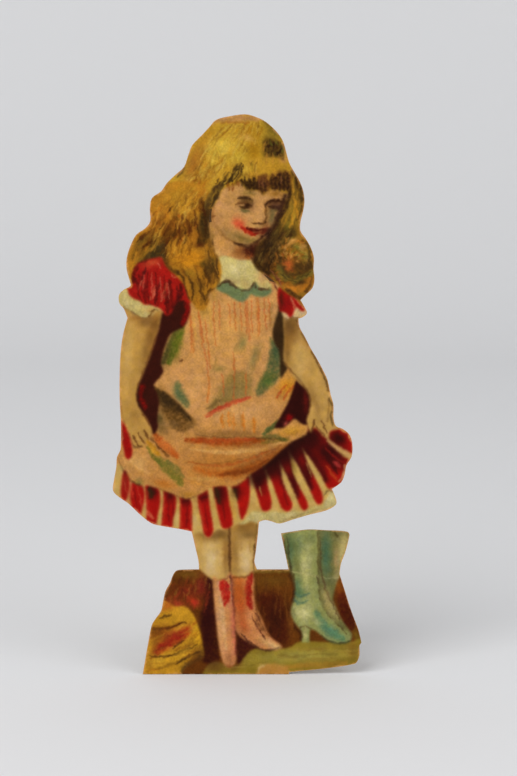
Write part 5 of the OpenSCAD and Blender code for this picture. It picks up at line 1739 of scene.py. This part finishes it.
# the wing's own sheet: distance from the hinge as column, row of the card, and place across
def toWing(points):
    sheet = toSheet(points)
    return np.column_stack(((sheet[:, 2] - hingeSpot[2]) / pixel, sheet[:, 1], sheet[:, 0] * pixel))


def fromWing(spots, height):
    out = spots[:, 0] * pixel
    half = np.abs(height).max()
    out = out - half * np.clip(1 - out / (2 * half), 0, 1)  # the hinge edge is rounded over
    height = height * np.sqrt(np.maximum(1 - (np.minimum(out, 0) / half) ** 2, 0.04))
    across = hingeSpot[0] - height / pixel
    return toWorld(np.column_stack((across, spots[:, 1])), hingeSpot[2] + out)


def pressWing():
    area = layOut("easel_wing", easel["step"], toWing)
    spots = area["spots"]
    half = np.ptp(toWing(nodePoints("easel_wing"))[:, 2]) / 2
    ageBoard(area, "tone", 61)
    ageBoard(area, "farTone", 71)
    crush = easel["crush"] * smooth(1 - area["inset"] / easel["crushWidth"])
    near = half - crush + 0.000015 * mottle(spots, 12, 64)
    far = -half + crush + 0.000015 * mottle(spots, 12, 65)
    piece = closedSheet("easel_wing_board", area, fromWing, near, far, twoFaced=True)
    piece.data.materials.append(easelBoard)
    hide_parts("easel_wing")
    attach(piece, "wing")


pressWing()

# one strip of paper, creased along the hinge and glued to the pad and to the wing
strip = {
    "rows": 70, "flatSteps": 9, "bendSteps": 7, "ragged": 0.00012, "tone": (198, 182, 150),
    "creaseTone": (150, 124, 86), "creaseSpread": 2.2, "creaseStrength": 0.8,
    "speck": 0.0007, "fibre": 0.0002, "fibreTone": (0.66, 0.58, 0.44), "darkFibre": (0.26, 0.19, 0.12),
}


def foldStrip():
    fixed = toSheet(nodePoints("hinge_strip_fixed"))
    moving = toSheet(nodePoints("hinge_strip_moving"))
    thick = np.ptp(fixed[:, 2])
    left = (fixed[:, 0].min() - hingeSpot[0]) * pixel
    right = (fixed[:, 0].max() - hingeSpot[0]) * pixel
    glued = (fixed[:, 2].min() + fixed[:, 2].max()) / 2
    upright = ((moving[:, 0].min() + moving[:, 0].max()) / 2 - hingeSpot[0]) * pixel
    bend = upright - right
    flatSteps, bendSteps = strip["flatSteps"], strip["bendSteps"]
    middle = [(left + (right - left) * i / flatSteps, glued) for i in range(flatSteps)]
    for a in np.linspace(0, math.pi / 2, bendSteps):
        middle.append((right + bend * math.sin(a), glued + bend * (1 - math.cos(a))))
    rise = moving[:, 2].max() - glued - bend
    middle += [(upright, glued + bend + rise * i / flatSteps) for i in range(1, flatSteps + 1)]
    middle = np.array(middle)
    way = np.gradient(middle, axis=0)
    way /= np.hypot(*way.T)[:, None]
    normal = np.column_stack((way[:, 1], -way[:, 0]))
    rows = np.linspace(fixed[:, 1].max(), fixed[:, 1].min(), strip["rows"])
    pick = np.random.default_rng(card["seed"] + 2)
    tornLeft, tornRight = pick.uniform(0, strip["ragged"], (2, len(rows)))
    paper, creased = np.array(strip["tone"]), np.array(strip["creaseTone"])
    fold = flatSteps + bendSteps // 2   # where along the strip the crease lies
    verts, tones = [], []
    for side in (-0.5, 0.5):
        for k, row in enumerate(rows):
            line = middle + side * thick * normal
            line[0] += way[0] * tornLeft[k]
            line[-1] -= way[-1] * tornRight[k]
            spots = np.column_stack((hingeSpot[0] + line[:, 0] / pixel, np.full(len(line), row)))
            verts.append(toWorld(spots, line[:, 1]))
            crease = np.exp(-((np.arange(len(line)) - fold) / strip["creaseSpread"]) ** 2)[:, None]
            tone = paper + strip["creaseStrength"] * crease * (creased - paper)
            tones.append(tone * (1 + pick.uniform(-0.03, 0.03, (len(line), 1))))
    across, total = len(middle), len(middle) * len(rows)
    at = lambda side, k, i: side * total + k * across + i
    faces = []
    for k in range(len(rows) - 1):
        for i in range(across - 1):
            faces.append((at(0, k, i), at(0, k + 1, i), at(0, k + 1, i + 1), at(0, k, i + 1)))
            faces.append((at(1, k, i), at(1, k, i + 1), at(1, k + 1, i + 1), at(1, k + 1, i)))
        for i, turned in ((0, False), (across - 1, True)):
            rim = (at(0, k, i), at(1, k, i), at(1, k + 1, i), at(0, k + 1, i))
            faces.append(rim[::-1] if turned else rim)
    for k, turned in ((0, True), (len(rows) - 1, False)):
        for i in range(across - 1):
            rim = (at(0, k, i), at(1, k, i), at(1, k, i + 1), at(0, k, i + 1))
            faces.append(rim[::-1] if turned else rim)
    piece = sheetObject("hinge_strip_paper", np.vstack(verts), faces, np.vstack(tones))
    piece.data.materials.append(pulpSheet("hingePaper", strip))
    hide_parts("hinge_strip_fixed", "hinge_strip_moving")
    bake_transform(piece)


foldStrip()
print("easel and its hinge made")

# plain pale floor that runs up into a backdrop
stage = {"tone": (0.775, 0.775, 0.78), "roughness": 0.9, "front": 0.9, "depth": 0.75, "bend": 0.28,
         "height": 1.4, "width": 2.4, "steps": 16}


def sweep():
    profile = [(-stage["front"], 0.0), (stage["depth"] - stage["bend"], 0.0)]
    for i in range(1, stage["steps"] + 1):
        turn = math.pi / 2 * i / stage["steps"]
        profile.append((stage["depth"] - stage["bend"] * (1 - math.sin(turn)),
                        stage["bend"] * (1 - math.cos(turn))))
    profile.append((stage["depth"], stage["height"]))
    half = stage["width"] / 2
    verts = [(x, y, z) for y, z in profile for x in (-half, half)]
    faces = [(2 * i, 2 * i + 1, 2 * i + 3, 2 * i + 2) for i in range(len(profile) - 1)]
    mesh = bpy.data.meshes.new("sweep")
    mesh.from_pydata(verts, [], faces)
    mesh.polygons.foreach_set("use_smooth", np.ones(len(mesh.polygons), bool))
    floor = bpy.data.objects.new("sweep", mesh)
    scene.collection.objects.link(floor)
    material = bpy.data.materials.new("palePaperSweep")
    material.use_nodes = True
    shader = material.node_tree.nodes["Principled BSDF"]
    shader.inputs["Base Color"].default_value = (*stage["tone"], 1)
    shader.inputs["Roughness"].default_value = stage["roughness"]
    shader.inputs["Specular IOR Level"].default_value = 0.1
    mesh.materials.append(material)


sweep()

# camera square to the card, so that the picture's columns and rows fall where they are in the photo
view = {"middleColumn": 258.5, "middleRow": 388.0, "rows": 776, "distance": 0.62, "sensor": 24.0}


def aimCamera():
    middle = Vector(toWorld(np.array([[view["middleColumn"], view["middleRow"]]]),
                            np.array([coreFront]))[0])
    away = Vector((0, -leanCos, leanSin))
    lens = bpy.data.cameras.new("camera")
    lens.sensor_fit = "VERTICAL"
    lens.sensor_height = view["sensor"]
    lens.lens = view["sensor"] * view["distance"] / (view["rows"] * pixel)
    lens.clip_start = 0.01
    camera = bpy.data.objects.new("camera", lens)
    camera.location = middle + away * view["distance"]
    camera.rotation_euler = (-away).to_track_quat("-Z", "Y").to_euler()
    scene.collection.objects.link(camera)
    scene.camera = camera


aimCamera()

# soft light: a large key from the upper left, a weaker fill from the right, and a pale room
lights = {
    "key": {"place": (-0.55, -0.75, 0.85), "size": 0.9, "power": 9.0},
    "fill": {"place": (0.8, -0.7, 0.5), "size": 0.9, "power": 4.0},
    "room": (0.80, 0.81, 0.83), "roomStrength": 0.55,
}


def areaLight(name, values):
    lamp = bpy.data.lights.new(name, "AREA")
    lamp.size = values["size"]
    lamp.energy = values["power"]
    lampObject = bpy.data.objects.new(name, lamp)
    lampObject.location = values["place"]
    aim = Vector((0, 0, card["height"] / 2)) - lampObject.location
    lampObject.rotation_euler = aim.to_track_quat("-Z", "Y").to_euler()
    scene.collection.objects.link(lampObject)


areaLight("keyLight", lights["key"])
areaLight("fillLight", lights["fill"])
world = bpy.data.worlds.new("room")
world.use_nodes = True
world.node_tree.nodes["Background"].inputs["Color"].default_value = (*lights["room"], 1)
world.node_tree.nodes["Background"].inputs["Strength"].default_value = lights["roomStrength"]
scene.world = world
scene.view_settings.view_transform = "Standard"
print("stage and lights set")
